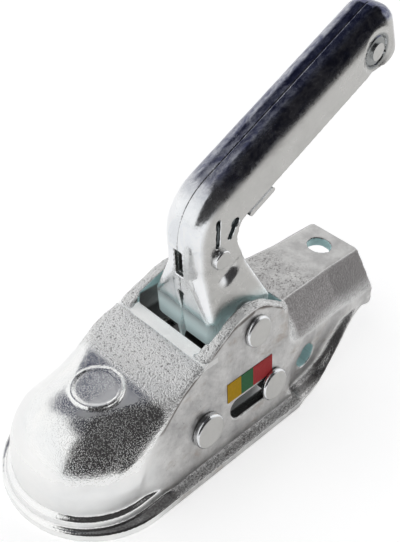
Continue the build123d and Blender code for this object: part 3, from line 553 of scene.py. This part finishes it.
    def tops(self, g: Graph, at: BodyZones) -> Socket:
        """Colour of the faces that look up, with painted shade in the hollows of the coarse grain."""
        hollows = g.both(at.coarse, g.span(at.stipple, *self.pore_shade_cut, 0.0, self.pore_shade_share))
        return g.blend(hollows, g.shades(self.top_cloud, self.dull, self.bright), self.shade)

    def sides(self, g: Graph) -> Socket:
        """Colour of the satin sides, with stains and a dark line under the top edge.

        Args:
            g: graph of the material.

        Returns:
            The colour.
        """
        colour = g.shades(self.side_cloud, self.side_dull, self.side_bright)
        colour = g.blend(g.tone(self.streaks), colour, self.stain)
        colour = g.blend(g.tone(self.flecks), colour, self.shade)
        # a dark brown line just under the top edge, broken up by noise
        below = g.calc("SUBTRACT", self.edge_height(g), g.z)
        line = g.both(g.between(below, self.edge_below, self.edge_soft), g.tone(self.edge_line_breakup))
        return g.blend(line, colour, self.edge_line_dark)

    def edge_height(self, g: Graph) -> Share:
        """Height of the side's top edge above each place along the part.

        Args:
            g: graph of the material.

        Returns:
            The height, in millimetres.
        """
        height: Share = self.edge_line[0][1]
        for (x0, z0), (x1, z1) in zip(self.edge_line, self.edge_line[1:]):
            rise = g.node("ShaderNodeMapRange", {0: g.x, 1: x0, 2: x1, 3: 0.0, 4: z1 - z0}, clamp=True)
            height = g.calc("ADD", height, rise.outputs[0])
        return height

    def winding_marks(self, g: Graph, at: BodyZones) -> Socket:
        """Share of the dark winding marks on the tail beside the window.

        Args:
            g: graph of the material.
            at: zones of the body.

        Returns:
            The share.
        """
        off_middle = g.calc("ABSOLUTE", g.calc("SUBTRACT", g.noise(self.worms), self.worm_middle))
        line = g.both(g.span(off_middle, *self.worm_line), g.tone(self.worm_gaps))
        return g.both(line, at.level, g.span(g.x, *self.worm_x, 0.0, self.worm_share))

    def slot_wall(self, g: Graph) -> Socket:
        """Share of the side slot's own edge.

        Args:
            g: graph of the material.

        Returns:
            The share.
        """
        return g.both(g.between(g.x, self.side_slot_x, self.side_slot_soft[0]),
                      g.between(g.z, self.side_slot_z, self.side_slot_soft[1]),
                      g.span(g.sideways, *self.side_slot_out))


@dataclass(frozen=True)
class BrightZinc:
    """Smooth bright plate of the pressed handle, the catch and the pins."""

    slot: Slot
    bright: Colour = (0.82, 0.83, 0.84)
    dull: Colour = (0.70, 0.72, 0.74)
    side: Colour = (0.46, 0.455, 0.44)
    # painted light: light teal and emitted colour of the leg's low end inside the body
    teal: Colour = (0.80, 0.95, 0.96)
    shadow: Colour = (0.10, 0.115, 0.12)
    # painted reflection: dark blue on the grip's top, where the dark overhead shows in it
    crown_reflection: Colour = (0.055, 0.062, 0.125)

    teal_below: float = -100.0
    teal_soft: float = 9.0
    shadow_from: float = 1000.0
    shadow_soft: float = 1.0
    sunk_y: Edge = (11.75, 11.5)
    sunk_x: Edge = (-70.0, -55.0)
    sunk_z: Edge = (86.0, 101.0)
    sunk_soft: float = 0.3
    dish: Edge = (0.0, 0.0)
    dish_radius: float = -10.0
    dish_soft: float = 0.5
    dish_share: float = 0.6
    crown_from: float = 1000.0
    crown_soft: float = 7.0
    crown_up: Edge = (0.35, 0.6)
    flank_out: Edge = (0.75, 0.95)
    haze_z: Edge = (108.0, 134.0)
    haze_soft: float = 8.0

    plate: Cloud = Cloud(0.06, 4.0, 0.6, 0.6, cut=(0.35, 0.6))
    smears: Cloud = Cloud(0.22, 5.0, 0.7, 1.2, cut=(0.56, 0.72), tones=(0.0, 0.3))
    crown_reflection_patches: Cloud = Cloud(0.2, 6.0, 0.75, 0.4, (0.6, 1.0, 0.6), (0.34, 0.62), (0.55, 0.96))
    polish: Cloud = Cloud(0.25, 5.0, 0.7, 1.0)
    haze: Cloud = Cloud(0.09, 5.0, 0.6, cut=(0.35, 0.65), tones=(0.0, 0.14))
    brushing: Cloud = Cloud(1.6, 3.0, 0.6, stretch=(0.15, 1.0, 1.0))
    scratches: Cloud = Cloud(0.5, 3.0, 0.7, 1.0, (0.35, 1.6, 0.6), (0.60, 0.66))
    waves: Cloud = Cloud(0.12)
    wave_depth: float = 0.08
    scratch_depth: float = 0.008
    gloss: Edge = (0.10, 0.24)
    flank_rough: float = 0.14
    teal_metal: float = 0.2
    # painted light: how strongly the leg's low end glows
    glow: float = 0.14

    def material(self) -> bpy.types.Material:
        """Makes the material.

        Returns:
            Zinc with soft waves, fine scratches and satin sides.
        """
        g = Graph.of_material(self.slot.value)
        flank = g.span(g.sideways, *self.flank_out)
        deep = g.span(g.z, self.teal_below + self.teal_soft, self.teal_below - self.teal_soft)
        haze = g.both(g.between(g.z, self.haze_z, self.haze_soft), g.tone(self.haze))
        rough = g.span(g.noise(self.polish), *self.polish.cut, *self.gloss)
        rough = g.calc("ADD", rough, g.calc("ADD", g.both(flank, self.flank_rough), haze))
        normal = g.bump(g.noise(self.waves), self.wave_depth)
        for relief in (g.noise(self.brushing), g.tone(self.scratches)):
            normal = g.bump(relief, self.scratch_depth, normal)
        # Painted light: below teal_below the leg turns light teal, loses its metal and glows faintly.
        return g.finish(
            Base_Color=self.colour(g, flank, deep), Metallic=g.fade(deep, self.teal_metal), Roughness=rough,
            Normal=normal, Emission_Color=(*self.teal, 1.0), Emission_Strength=g.both(deep, self.glow))

    def colour(self, g: Graph, flank: Socket, deep: Socket) -> Socket:
        """Colour of the plate, with its dull sides, painted shadow in its hollows and a painted dark reflection on
        the grip's top.

        Args:
            g: graph of the material.
            flank: share of the faces that look to the sides.
            deep: share of the low end inside the body.

        Returns:
            The colour.
        """
        colour = g.blend(flank, g.shades(self.plate, self.dull, self.bright), self.side)
        colour = g.blend(g.tone(self.smears), colour, self.side)
        colour = g.blend(deep, colour, self.teal)
        # Painted shadow: the catch past shadow_from, the slots' floors and a ring round the rivet are darkened.
        front = g.span(g.x, self.shadow_from - self.shadow_soft, self.shadow_from + self.shadow_soft)
        sunk = g.both(g.span(g.aside, *self.sunk_y), g.between(g.x, self.sunk_x, self.sunk_soft),
                      g.between(g.z, self.sunk_z, self.sunk_soft))
        dish = g.within(g.x, g.z, self.dish, self.dish_radius, self.dish_soft)
        for share in (front, sunk, g.both(dish, self.dish_share)):
            colour = g.blend(share, colour, self.shadow)
        # Painted reflection: the grip's top turns dark blue in patches, as the dark overhead would show in it.
        crown_reflection = g.both(g.span(g.up, *self.crown_up), g.tone(self.crown_reflection_patches),
                       g.span(g.z, self.crown_from - self.crown_soft, self.crown_from + self.crown_soft))
        return g.blend(crown_reflection, colour, self.crown_reflection)


@dataclass(frozen=True)
class LabelFilm:
    """Plain colour fields of the indicator label."""

    yellow: Colour = (0.72, 0.42, 0.010)
    green: Colour = (0.045, 0.19, 0.075)
    red: Colour = (0.58, 0.055, 0.06)
    yellow_end: float = -58.8
    green_end: float = -67.1
    worn: float = 0.85
    wear: Cloud = Cloud(0.7, 3.0, 0.6)
    wear_depth: float = 0.01
    matt: Cloud = Cloud(0.8, tones=(0.5, 0.62))
    specular: float = 0.15

    def material(self) -> bpy.types.Material:
        """Makes the material.

        Returns:
            Film with three fields along its length.
        """
        g = Graph.of_material(Slot.LABEL.value)
        yellow, green, red = (
            g.shades(self.wear, tuple(self.worn * channel for channel in field), field)
            for field in (self.yellow, self.green, self.red))
        colour = g.blend(g.calc("LESS_THAN", g.x, self.yellow_end), yellow, green)
        colour = g.blend(g.calc("LESS_THAN", g.x, self.green_end), colour, red)
        return g.finish(Base_Color=colour, Roughness=g.tone(self.matt), Specular_IOR_Level=self.specular,
                        Normal=g.bump(g.noise(self.wear), self.wear_depth))


@dataclass(frozen=True)
class InnerSteel:
    """Dark oiled steel of the pieces inside."""

    slot: Slot
    bright: Colour
    dull: Colour
    oil: Cloud = Cloud(0.2, 4.0, 0.65, 0.5, cut=(0.35, 0.65))
    sheen: Cloud = Cloud(0.4, 3.0, tones=(0.3, 0.55))
    skin: Cloud = Cloud(0.9, 3.0)
    skin_depth: float = 0.05

    def material(self) -> bpy.types.Material:
        """Makes the material.

        Returns:
            Uneven dark steel.
        """
        g = Graph.of_material(self.slot.value)
        return g.finish(Base_Color=g.shades(self.oil, self.dull, self.bright), Metallic=1.0,
                        Roughness=g.tone(self.sheen), Normal=g.bump(g.noise(self.skin), self.skin_depth))


def refined_copy(node: str, name: str, voxel: float, passes: int) -> bpy.types.Object:
    """Makes an even, dense copy of a CAD node with softened edges.

    Args:
        node: name of the CAD node.
        name: name of the new piece.
        voxel: edge length of the new mesh, in millimetres.
        passes: smoothing passes, each of which rounds the edges a little more.

    Returns:
        The new piece.
    """
    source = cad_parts[node]
    piece = bpy.data.objects.new(name, source.data.copy())
    bpy.context.scene.collection.objects.link(piece)
    weld = piece.modifiers.new("weld", "WELD")
    weld.merge_threshold = WELD_REACH * MM
    remesh = piece.modifiers.new("remesh", "REMESH")
    remesh.mode = "VOXEL"
    remesh.voxel_size = voxel * MM
    remesh.use_smooth_shade = True
    wrap = piece.modifiers.new("wrap", "SHRINKWRAP")
    wrap.target = source
    wrap.wrap_method = "NEAREST_SURFACEPOINT"
    smooth = piece.modifiers.new("smooth", "SMOOTH")
    smooth.factor = SMOOTHING
    smooth.iterations = passes
    graph = bpy.context.evaluated_depsgraph_get()
    mesh = bpy.data.meshes.new_from_object(piece.evaluated_get(graph))
    piece.modifiers.clear()
    piece.data = mesh
    mesh.name = name
    mesh.materials.clear()
    for face in mesh.polygons:
        face.use_smooth = True
    log.info("%s: %d faces", name, len(mesh.polygons))
    return piece


def seat(piece: bpy.types.Object, body: Ride, node: str, material: bpy.types.Material) -> None:
    """Dresses a piece and lets it ride on a body, take a slot and stand for a CAD node.

    Args:
        piece: piece to seat.
        body: body that carries it.
        node: CAD node that it stands for.
        material: finish of the piece.
    """
    piece.data.materials.append(material)
    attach(piece, body.value)
    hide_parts(node)


def dress(material: bpy.types.Material, *nodes: str) -> None:
    """Gives CAD nodes one material.

    Args:
        material: finish of the nodes.
        nodes: names of the CAD nodes.
    """
    for node in nodes:
        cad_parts[node].material_slots[0].material = material
        log.info("%s: %s", node, material.name)


def step(value: np.ndarray, low: float, high: float) -> np.ndarray:
    """Smooth step of each value from 0 at low to 1 at high."""
    share = np.clip((value - low) / (high - low), 0.0, 1.0)
    return share * share * (3.0 - 2.0 * share)


class Clay:
    """Vertices of one piece in millimetres, softened and pressed by smooth fields."""

    def __init__(self, piece: bpy.types.Object) -> None:
        """Reads the piece's vertices.

        Args:
            piece: piece to shape.
        """
        self.mesh = piece.data
        self.place = self.read("co") / MM
        self.normal = self.read("normal")
        ends = np.empty(2 * len(self.mesh.edges), dtype=np.int32)
        self.mesh.edges.foreach_get("vertices", ends)
        self.ends = ends.reshape(-1, 2).T
        self.count = np.bincount(ends, minlength=len(self.place))[:, None]

    def read(self, name: str) -> np.ndarray:
        """One vector attribute of all vertices.

        Args:
            name: name of the attribute.

        Returns:
            Its values, one row to a vertex.
        """
        flat = np.empty(3 * len(self.mesh.vertices), dtype=np.float32)
        self.mesh.vertices.foreach_get(name, flat)
        return flat.reshape(-1, 3).astype(float)

    @property
    def outward(self) -> np.ndarray:
        """Share of each normal that points away from the middle plane."""
        return self.normal[:, 1] * np.sign(self.place[:, 1])

    def soften(self, share: np.ndarray, passes: int) -> None:
        """Evens the surface out where share is high.

        Args:
            share: how far each vertex takes part, 0 to 1.
            passes: rounds of smoothing.
        """
        a, b = self.ends
        size = len(self.place)
        for _ in range(passes):
            total = [np.bincount(a, self.place[b, k], size) + np.bincount(b, self.place[a, k], size)
                     for k in range(3)]
            middle = np.stack(total, axis=1) / self.count
            self.place += SMOOTHING * share[:, None] * (middle - self.place)

    def press(self, depth: np.ndarray) -> None:
        """Moves vertices toward the middle plane by depth."""
        self.place[:, 1] -= depth * np.sign(self.place[:, 1])

    def settle(self) -> None:
        """Writes the vertices back."""
        self.mesh.vertices.foreach_set("co", (self.place * MM).astype(np.float32).ravel())
        self.mesh.update()


@dataclass
class CouplingBody:
    """Pressed and grained shell of the coupling."""

    voxel: float = 0.9
    passes: int = 1
    outer_out: Edge = (-0.1, 0.2)
    joint_x: float = -97.0
    joint_reach: Edge = (9.0, 4.0)
    joint_y: Edge = (22.5, 25.0)
    joint_z: Edge = (-9.0, -4.0)
    joint_passes: int = 140
    rear_x: Edge = (-166.0, -158.0)
    tail_x: Edge = (-97.0, -102.0)
    tail_y: Edge = (22.0, 26.0)
    tail_low_z: Edge = (8.0, 13.0)
    tail_high_z: Edge = (26.0, 22.0)
    tail_passes: int = 60
    cove_x: Edge = (-98.0, -106.0)
    cove_y: Edge = (27.0, 30.0)
    cove_z: Edge = (12.0, 6.0)
    cove_passes: int = 80
    side_hole: Edge = (-111.0, 4.0)
    side_hole_clear: Edge = (7.5, 9.0)
    pad_clear: Edge = (13.0, 17.0)
    roof_up: Edge = (0.2, 0.5)
    roof_z: Edge = (24.0, 28.0)
    shelf_x: float = -35.0
    shelf_reach: Edge = (5.0, 2.0)
    ramp_x: float = -14.0
    ramp_reach: Edge = (9.0, 5.0)
    fold_passes: int = 25
    cheek_x: float = 4.0
    cheek_reach: Edge = (12.0, 6.0)
    cheek_low_z: Edge = (6.0, 12.0)
    cheek_high_z: Edge = (32.0, 29.0)
    cheek_near_y: Edge = (10.0, 14.0)
    cheek_far_y: Edge = (31.5, 29.0)
    cheek_passes: int = 140

    def build(self) -> None:
        """Softens the shell's edges and dresses it."""
        piece = refined_copy("coupling_body", "body_shell", self.voxel, self.passes)
        clay = Clay(piece)
        outer = step(clay.outward, *self.outer_out)
        self.shape_tail(clay, outer)
        self.shape_nose(clay, outer)
        clay.settle()
        seat(piece, Ride.BODY, "coupling_body", ForgedZinc().material())

    def shape_tail(self, clay: Clay, outer: np.ndarray) -> None:
        """Blends the hump into the tail, rounds the tail's side and coves its flange.

        Args:
            clay: vertices of the shell.
            outer: share of the faces that look out.
        """
        x, y, z = clay.place.T
        aside = np.abs(y)
        joint = step(np.abs(x - self.joint_x), *self.joint_reach) * step(aside, *self.joint_y) * outer
        clay.soften(joint * step(z, *self.joint_z), self.joint_passes)
        tail = step(x, *self.tail_x) * step(aside, *self.tail_y) * outer
        height = step(z, *self.tail_low_z) * step(z, *self.tail_high_z)
        clay.soften(tail * height * step(x, *self.rear_x), self.tail_passes)
        cove = step(x, *self.cove_x) * step(aside, *self.cove_y) * step(z, *self.cove_z) * step(x, *self.rear_x)
        from_hole = np.hypot(x - self.side_hole[0], z - self.side_hole[1])
        clay.soften(cove * step(from_hole, *self.side_hole_clear), self.cove_passes)

    def shape_nose(self, clay: Clay, outer: np.ndarray) -> None:
        """Blends the ramp into the shelf and the nose, and rounds the cheeks.

        Args:
            clay: vertices of the shell.
            outer: share of the faces that look out.
        """
        x, y, z = clay.place.T
        aside = np.abs(y)
        roof = step(clay.normal[:, 2], *self.roof_up) * step(z, *self.roof_z)
        clear = step(np.hypot(x, y), *self.pad_clear)
        shelf = step(np.abs(x - self.shelf_x), *self.shelf_reach)
        ramp = step(np.abs(x - self.ramp_x), *self.ramp_reach) * clear
        clay.soften(roof * (shelf + ramp), self.fold_passes)
        cheek = step(np.abs(x - self.cheek_x), *self.cheek_reach)
        cheek = cheek * step(z, *self.cheek_low_z) * step(z, *self.cheek_high_z)
        cheek = cheek * step(aside, *self.cheek_near_y) * step(aside, *self.cheek_far_y)
        clay.soften(cheek * outer * clear, self.cheek_passes)


@dataclass
class Handle:
    """Two pressed halves of the handle, with the catch."""

    voxel: float = 0.5
    passes: int = 2
    outer_out: Edge = (0.0, 0.3)
    flare_low_z: Edge = (50.0, 54.0)
    flare_high_z: Edge = (78.0, 74.0)
    flare_y: Edge = (8.0, 10.0)
    flare_passes: int = 70
    groove: Edge = (-65.3, 68.9)
    groove_tilt: float = 151.6
    groove_half: Edge = (9.0, 3.4)
    groove_end: Edge = (1.0, 0.2)
    groove_low: Edge = (-1.0, 0.6)
    groove_high: Edge = (1.0, 0.6)
    groove_depth: float = 1.9
    groove_bend: float = 0.45
    dish: Edge = (-149.0, 150.4)
    dish_outside: Edge = (11.5, 7.4)
    dish_inside: Edge = (6.4, 7.4)
    dish_depth: float = 1.3
    dish_shade: float = 8.4
    foot_z: float = 50.0
    crown_z: float = 112.0
    catch_shade_x: float = -76.0

    def build(self) -> None:
        """Softens the halves' edges and dresses them and the catch."""
        zinc = BrightZinc(Slot.HANDLE, teal_below=self.foot_z, dish=self.dish, dish_radius=self.dish_shade,
                          crown_from=self.crown_z).material()
        for side in ("left", "right"):
            node = f"handle_shell_{side}"
            piece = refined_copy(node, f"handle_half_{side}", self.voxel, self.passes)
            self.shape(Clay(piece))
            seat(piece, Ride.HANDLE, node, zinc)
        dress(BrightZinc(Slot.CATCH, shadow_from=self.catch_shade_x).material(), "safety_catch")

    def shape(self, clay: Clay) -> None:
        """Evens the flare out, and presses the groove behind the catch pin and the ring around the rivet.

        Args:
            clay: vertices of one half.
        """
        x, y, z = clay.place.T
        outer = step(clay.outward, *self.outer_out)
        flare = step(z, *self.flare_low_z) * step(z, *self.flare_high_z) * step(np.abs(y), *self.flare_y)
        clay.soften(outer * flare, self.flare_passes)
        turn = math.radians(self.groove_tilt)
        ahead, above = x - self.groove[0], z - self.groove[1]
        along = (ahead * math.cos(turn) + above * math.sin(turn)) / self.groove_half[0]
        rise = (ahead * math.sin(turn) - above * math.cos(turn)) / self.groove_half[1]
        rise = rise - self.groove_bend * along**2
        bowl = step(np.abs(along), *self.groove_end) * step(rise, *self.groove_low) * step(rise, *self.groove_high)
        clay.press(self.groove_depth * bowl * outer)
        radius = np.hypot(x - self.dish[0], z - self.dish[1])
        clay.press(self.dish_depth * step(radius, *self.dish_outside) * step(radius, *self.dish_inside) * outer)
        clay.settle()


@dataclass
class Pins:
    """Pins, collars, washers and discs."""

    voxel: float = 0.5
    passes: int = 10
    gloss: Edge = (0.14, 0.3)
    wave_depth: float = 0.04
    round_nodes: tuple[tuple[str, Ride], ...] = (
        ("handle_pivot_pin", Ride.BODY), ("pivot_pin_collar", Ride.BODY), ("jaw_pin", Ride.BODY),
        ("jaw_pin_collar", Ride.BODY), ("indicator_pin", Ride.SLIDER), ("indicator_disc", Ride.SLIDER),
    )
    plain_nodes: tuple[str, ...] = ("pivot_washer_left", "pivot_washer_right", "handle_end_rivet", "catch_pin")

    def build(self) -> None:
        """Rounds the heads that show on the sides and dresses each pin."""
        zinc = BrightZinc(Slot.PIN, gloss=self.gloss, wave_depth=self.wave_depth).material()
        for node, body in self.round_nodes:
            piece = refined_copy(node, f"{node}_round", self.voxel, self.passes)
            seat(piece, body, node, zinc)
        dress(zinc, *self.plain_nodes)


@dataclass
class Inside:
    """Pieces inside the shell."""

    steel_bright: Colour = (0.13, 0.128, 0.125)
    steel_dull: Colour = (0.05, 0.049, 0.048)
    steel_nodes: tuple[str, ...] = (
        "handle_end_sleeve", "handle_pivot_tube", "slot_roller_left", "slot_roller_right", "pressure_block",
        "ball_jaw", "jaw_bush",
    )
    spring_bright: Colour = (0.22, 0.22, 0.23)
    spring_dull: Colour = (0.07, 0.07, 0.08)
    spring_nodes: tuple[str, ...] = ("handle_spring", "catch_spring")

    def build(self) -> None:
        """Dresses the inner pieces."""
        dress(InnerSteel(Slot.INNER, self.steel_bright, self.steel_dull).material(), *self.steel_nodes)
        dress(InnerSteel(Slot.SPRING, self.spring_bright, self.spring_dull).material(), *self.spring_nodes)


@dataclass
class Label:
    """Indicator label above the slot."""

    node: str = "indicator_label"

    def build(self) -> None:
        """Dresses the label."""
        dress(LabelFilm().material(), self.node)


@dataclass(frozen=True)
class SkyPatch:
    """Patch of the tent between two bearings and two heights, in degrees, with soft edges."""

    bearing: Edge
    bearing_soft: Edge
    height: Edge
    height_soft: Edge
    colour: Colour

    def drawn(self, g: Graph, bearing: Socket, height: Socket, under: Paint) -> Socket:
        """Colour of the tent with this patch laid over it.

        Args:
            g: graph of the world.
            bearing: direction around the part.
            height: direction above the floor.
            under: colour of the tent so far.

        Returns:
            The new colour.
        """
        share = g.both(
            g.span(bearing, self.bearing[0] - self.bearing_soft[0], self.bearing[0]),
            g.span(bearing, self.bearing[1] + self.bearing_soft[1], self.bearing[1]),
            g.span(height, self.height[0] - self.height_soft[0], self.height[0]),
            g.span(height, self.height[1] + self.height_soft[1], self.height[1]))
        return g.blend(share, under, self.colour)


@dataclass
class Studio:
    """Floor, light and camera."""

    tent: Colour = (1.12, 1.12, 1.12)
    backdrop: Colour = (1.0, 1.0, 1.0)
    backdrop_height: Edge = (1.0, -1.0)
    blue_wall: SkyPatch = SkyPatch((-124.0, -86.0), (8.0, 16.0), (46.0, 95.0), (16.0, 1.0), (0.05, 0.056, 0.10))
    ceiling: SkyPatch = SkyPatch((-181.0, 181.0), (1.0, 1.0), (74.0, 95.0), (10.0, 1.0), (0.06, 0.062, 0.075))
    dark_room: SkyPatch = SkyPatch((19.0, 122.0), (4.0, 16.0), (-5.0, 95.0), (4.0, 1.0), (0.05, 0.048, 0.049))
    left_slope: SkyPatch = SkyPatch((115.0, 181.0), (10.0, 1.0), (58.0, 95.0), (10.0, 1.0), (0.05, 0.048, 0.049))
    right_slope: SkyPatch = SkyPatch((-181.0, -140.0), (1.0, 10.0), (58.0, 95.0), (10.0, 1.0), (0.05, 0.05, 0.06))
    floor_half: float = 4.0
    floor_drop: float = 0.05
    floor_colour: Colour = (0.84, 0.84, 0.84)
    floor_rough: float = 0.9
    floor_lift: float = 0.57
    shade_ends: Edge = (-78.0, 4.0)
    shade_half: float = 26.0
    shade_soft: float = 8.0
    lamp_place: Point = (0.35, 0.75, 0.45)
    lamp_size: float = 0.4
    lamp_power: float = 0.6
    eye: Point = (0.1519, 0.1819, 0.2866)
    forward: Point = (-0.594, -0.512, -0.6205)
    upward: Point = (-0.398, -0.483, 0.780)
    focal_pixels: float = 801.0
    image_height: float = 542.0
    sensor: float = 36.0

    def build(self) -> None:
        """Sets up everything around the part."""
        self.lay_floor()
        self.light_world()
        self.hang_lamp()
        self.aim_camera()
        bpy.context.scene.view_settings.view_transform = "Standard"

    def lay_floor(self) -> None:
        """Lays a pale floor under the rim that keeps the part's shadow."""
        low = CAD_BOX[0].z - self.floor_drop * MM
        half = self.floor_half
        mesh = bpy.data.meshes.new("floor")
        corners = [(-half, -half, low), (half, -half, low), (half, half, low), (-half, half, low)]
        mesh.from_pydata(corners, [], [range(len(corners))])
        floor = bpy.data.objects.new("floor", mesh)
        bpy.context.scene.collection.objects.link(floor)
        g = Graph.of_material("floor_paper")
        path = g.node("ShaderNodeLightPath").outputs
        seen = g.either(path["Is Camera Ray"], path["Is Glossy Ray"], path["Is Transmission Ray"])
        along = g.calc("MINIMUM", g.calc("MAXIMUM", g.x, self.shade_ends[0]), self.shade_ends[1])
        past_end = g.calc("SUBTRACT", g.x, along)
        under = g.within(past_end, g.y, (0.0, 0.0), self.shade_half, self.shade_soft)
        mesh.materials.append(g.finish(
            Base_Color=(*self.floor_colour, 1.0), Roughness=self.floor_rough,
            Emission_Color=(*self.backdrop, 1.0),
            Emission_Strength=g.both(seen, g.span(under, 0.0, 1.0, self.floor_lift, 0.0))))

    def light_world(self) -> None:
        """Surrounds the part with a white tent that has dark zones, before a white backdrop."""
        world = bpy.data.worlds.new("tent")
        bpy.context.scene.world = world
        g = Graph(world)
        split = g.node("ShaderNodeSeparateXYZ", {0: g.place["Generated"]}).outputs
        bearing = g.calc("DEGREES", g.calc("ARCTAN2", split["Y"], split["X"]))
        height = g.calc("DEGREES", g.calc("ARCSINE", split["Z"]))
        colour: Paint = self.tent
        for patch in (self.blue_wall, self.ceiling, self.dark_room, self.left_slope, self.right_slope):
            colour = patch.drawn(g, bearing, height, colour)
        path = g.node("ShaderNodeLightPath").outputs
        mirrored = g.both(path["Is Glossy Ray"], g.span(height, *self.backdrop_height))
        seen = g.either(path["Is Camera Ray"], path["Is Transmission Ray"], mirrored)
        shine = g.node("ShaderNodeBackground", {"Color": g.blend(seen, colour, self.backdrop)})
        g.node("ShaderNodeOutputWorld", {"Surface": shine.outputs[0]})

    def hang_lamp(self) -> None:
        """Hangs a soft box that faces the part."""
        data = bpy.data.lights.new("front_box", "AREA")
        data.shape = "SQUARE"
        data.size = self.lamp_size
        data.energy = self.lamp_power
        lamp = bpy.data.objects.new("front_box", data)
        lamp.visible_glossy = False
        bpy.context.scene.collection.objects.link(lamp)
        middle = (CAD_BOX[0] + CAD_BOX[1]) / 2
        lamp.location = self.lamp_place
        lamp.rotation_euler = (middle - Vector(self.lamp_place)).to_track_quat("-Z", "Y").to_euler()

    def aim_camera(self) -> None:
        """Stands the camera where the photograph was taken from."""
        forward = Vector(self.forward).normalized()
        upward = Vector(self.upward)
        upward = (upward - upward.dot(forward) * forward).normalized()
        right = forward.cross(upward)
        data = bpy.data.cameras.new("camera")
        data.sensor_width = self.sensor
        data.lens = self.focal_pixels * self.sensor / self.image_height
        data.clip_start = MM
        camera = bpy.data.objects.new("camera", data)
        bpy.context.scene.collection.objects.link(camera)
        turn = Matrix((right, upward, -forward)).transposed()
        camera.matrix_world = Matrix.Translation(self.eye) @ turn.to_4x4()
        bpy.context.scene.camera = camera


def main() -> None:
    """Builds the dressed part and its studio."""
    logging.basicConfig(level=logging.INFO, format="%(name)s %(message)s")
    for assembly in (CouplingBody(), Handle(), Pins(), Inside(), Label(), Studio()):
        assembly.build()
        log.info("%s done", type(assembly).__name__)


if __name__ == "__main__":
    main()
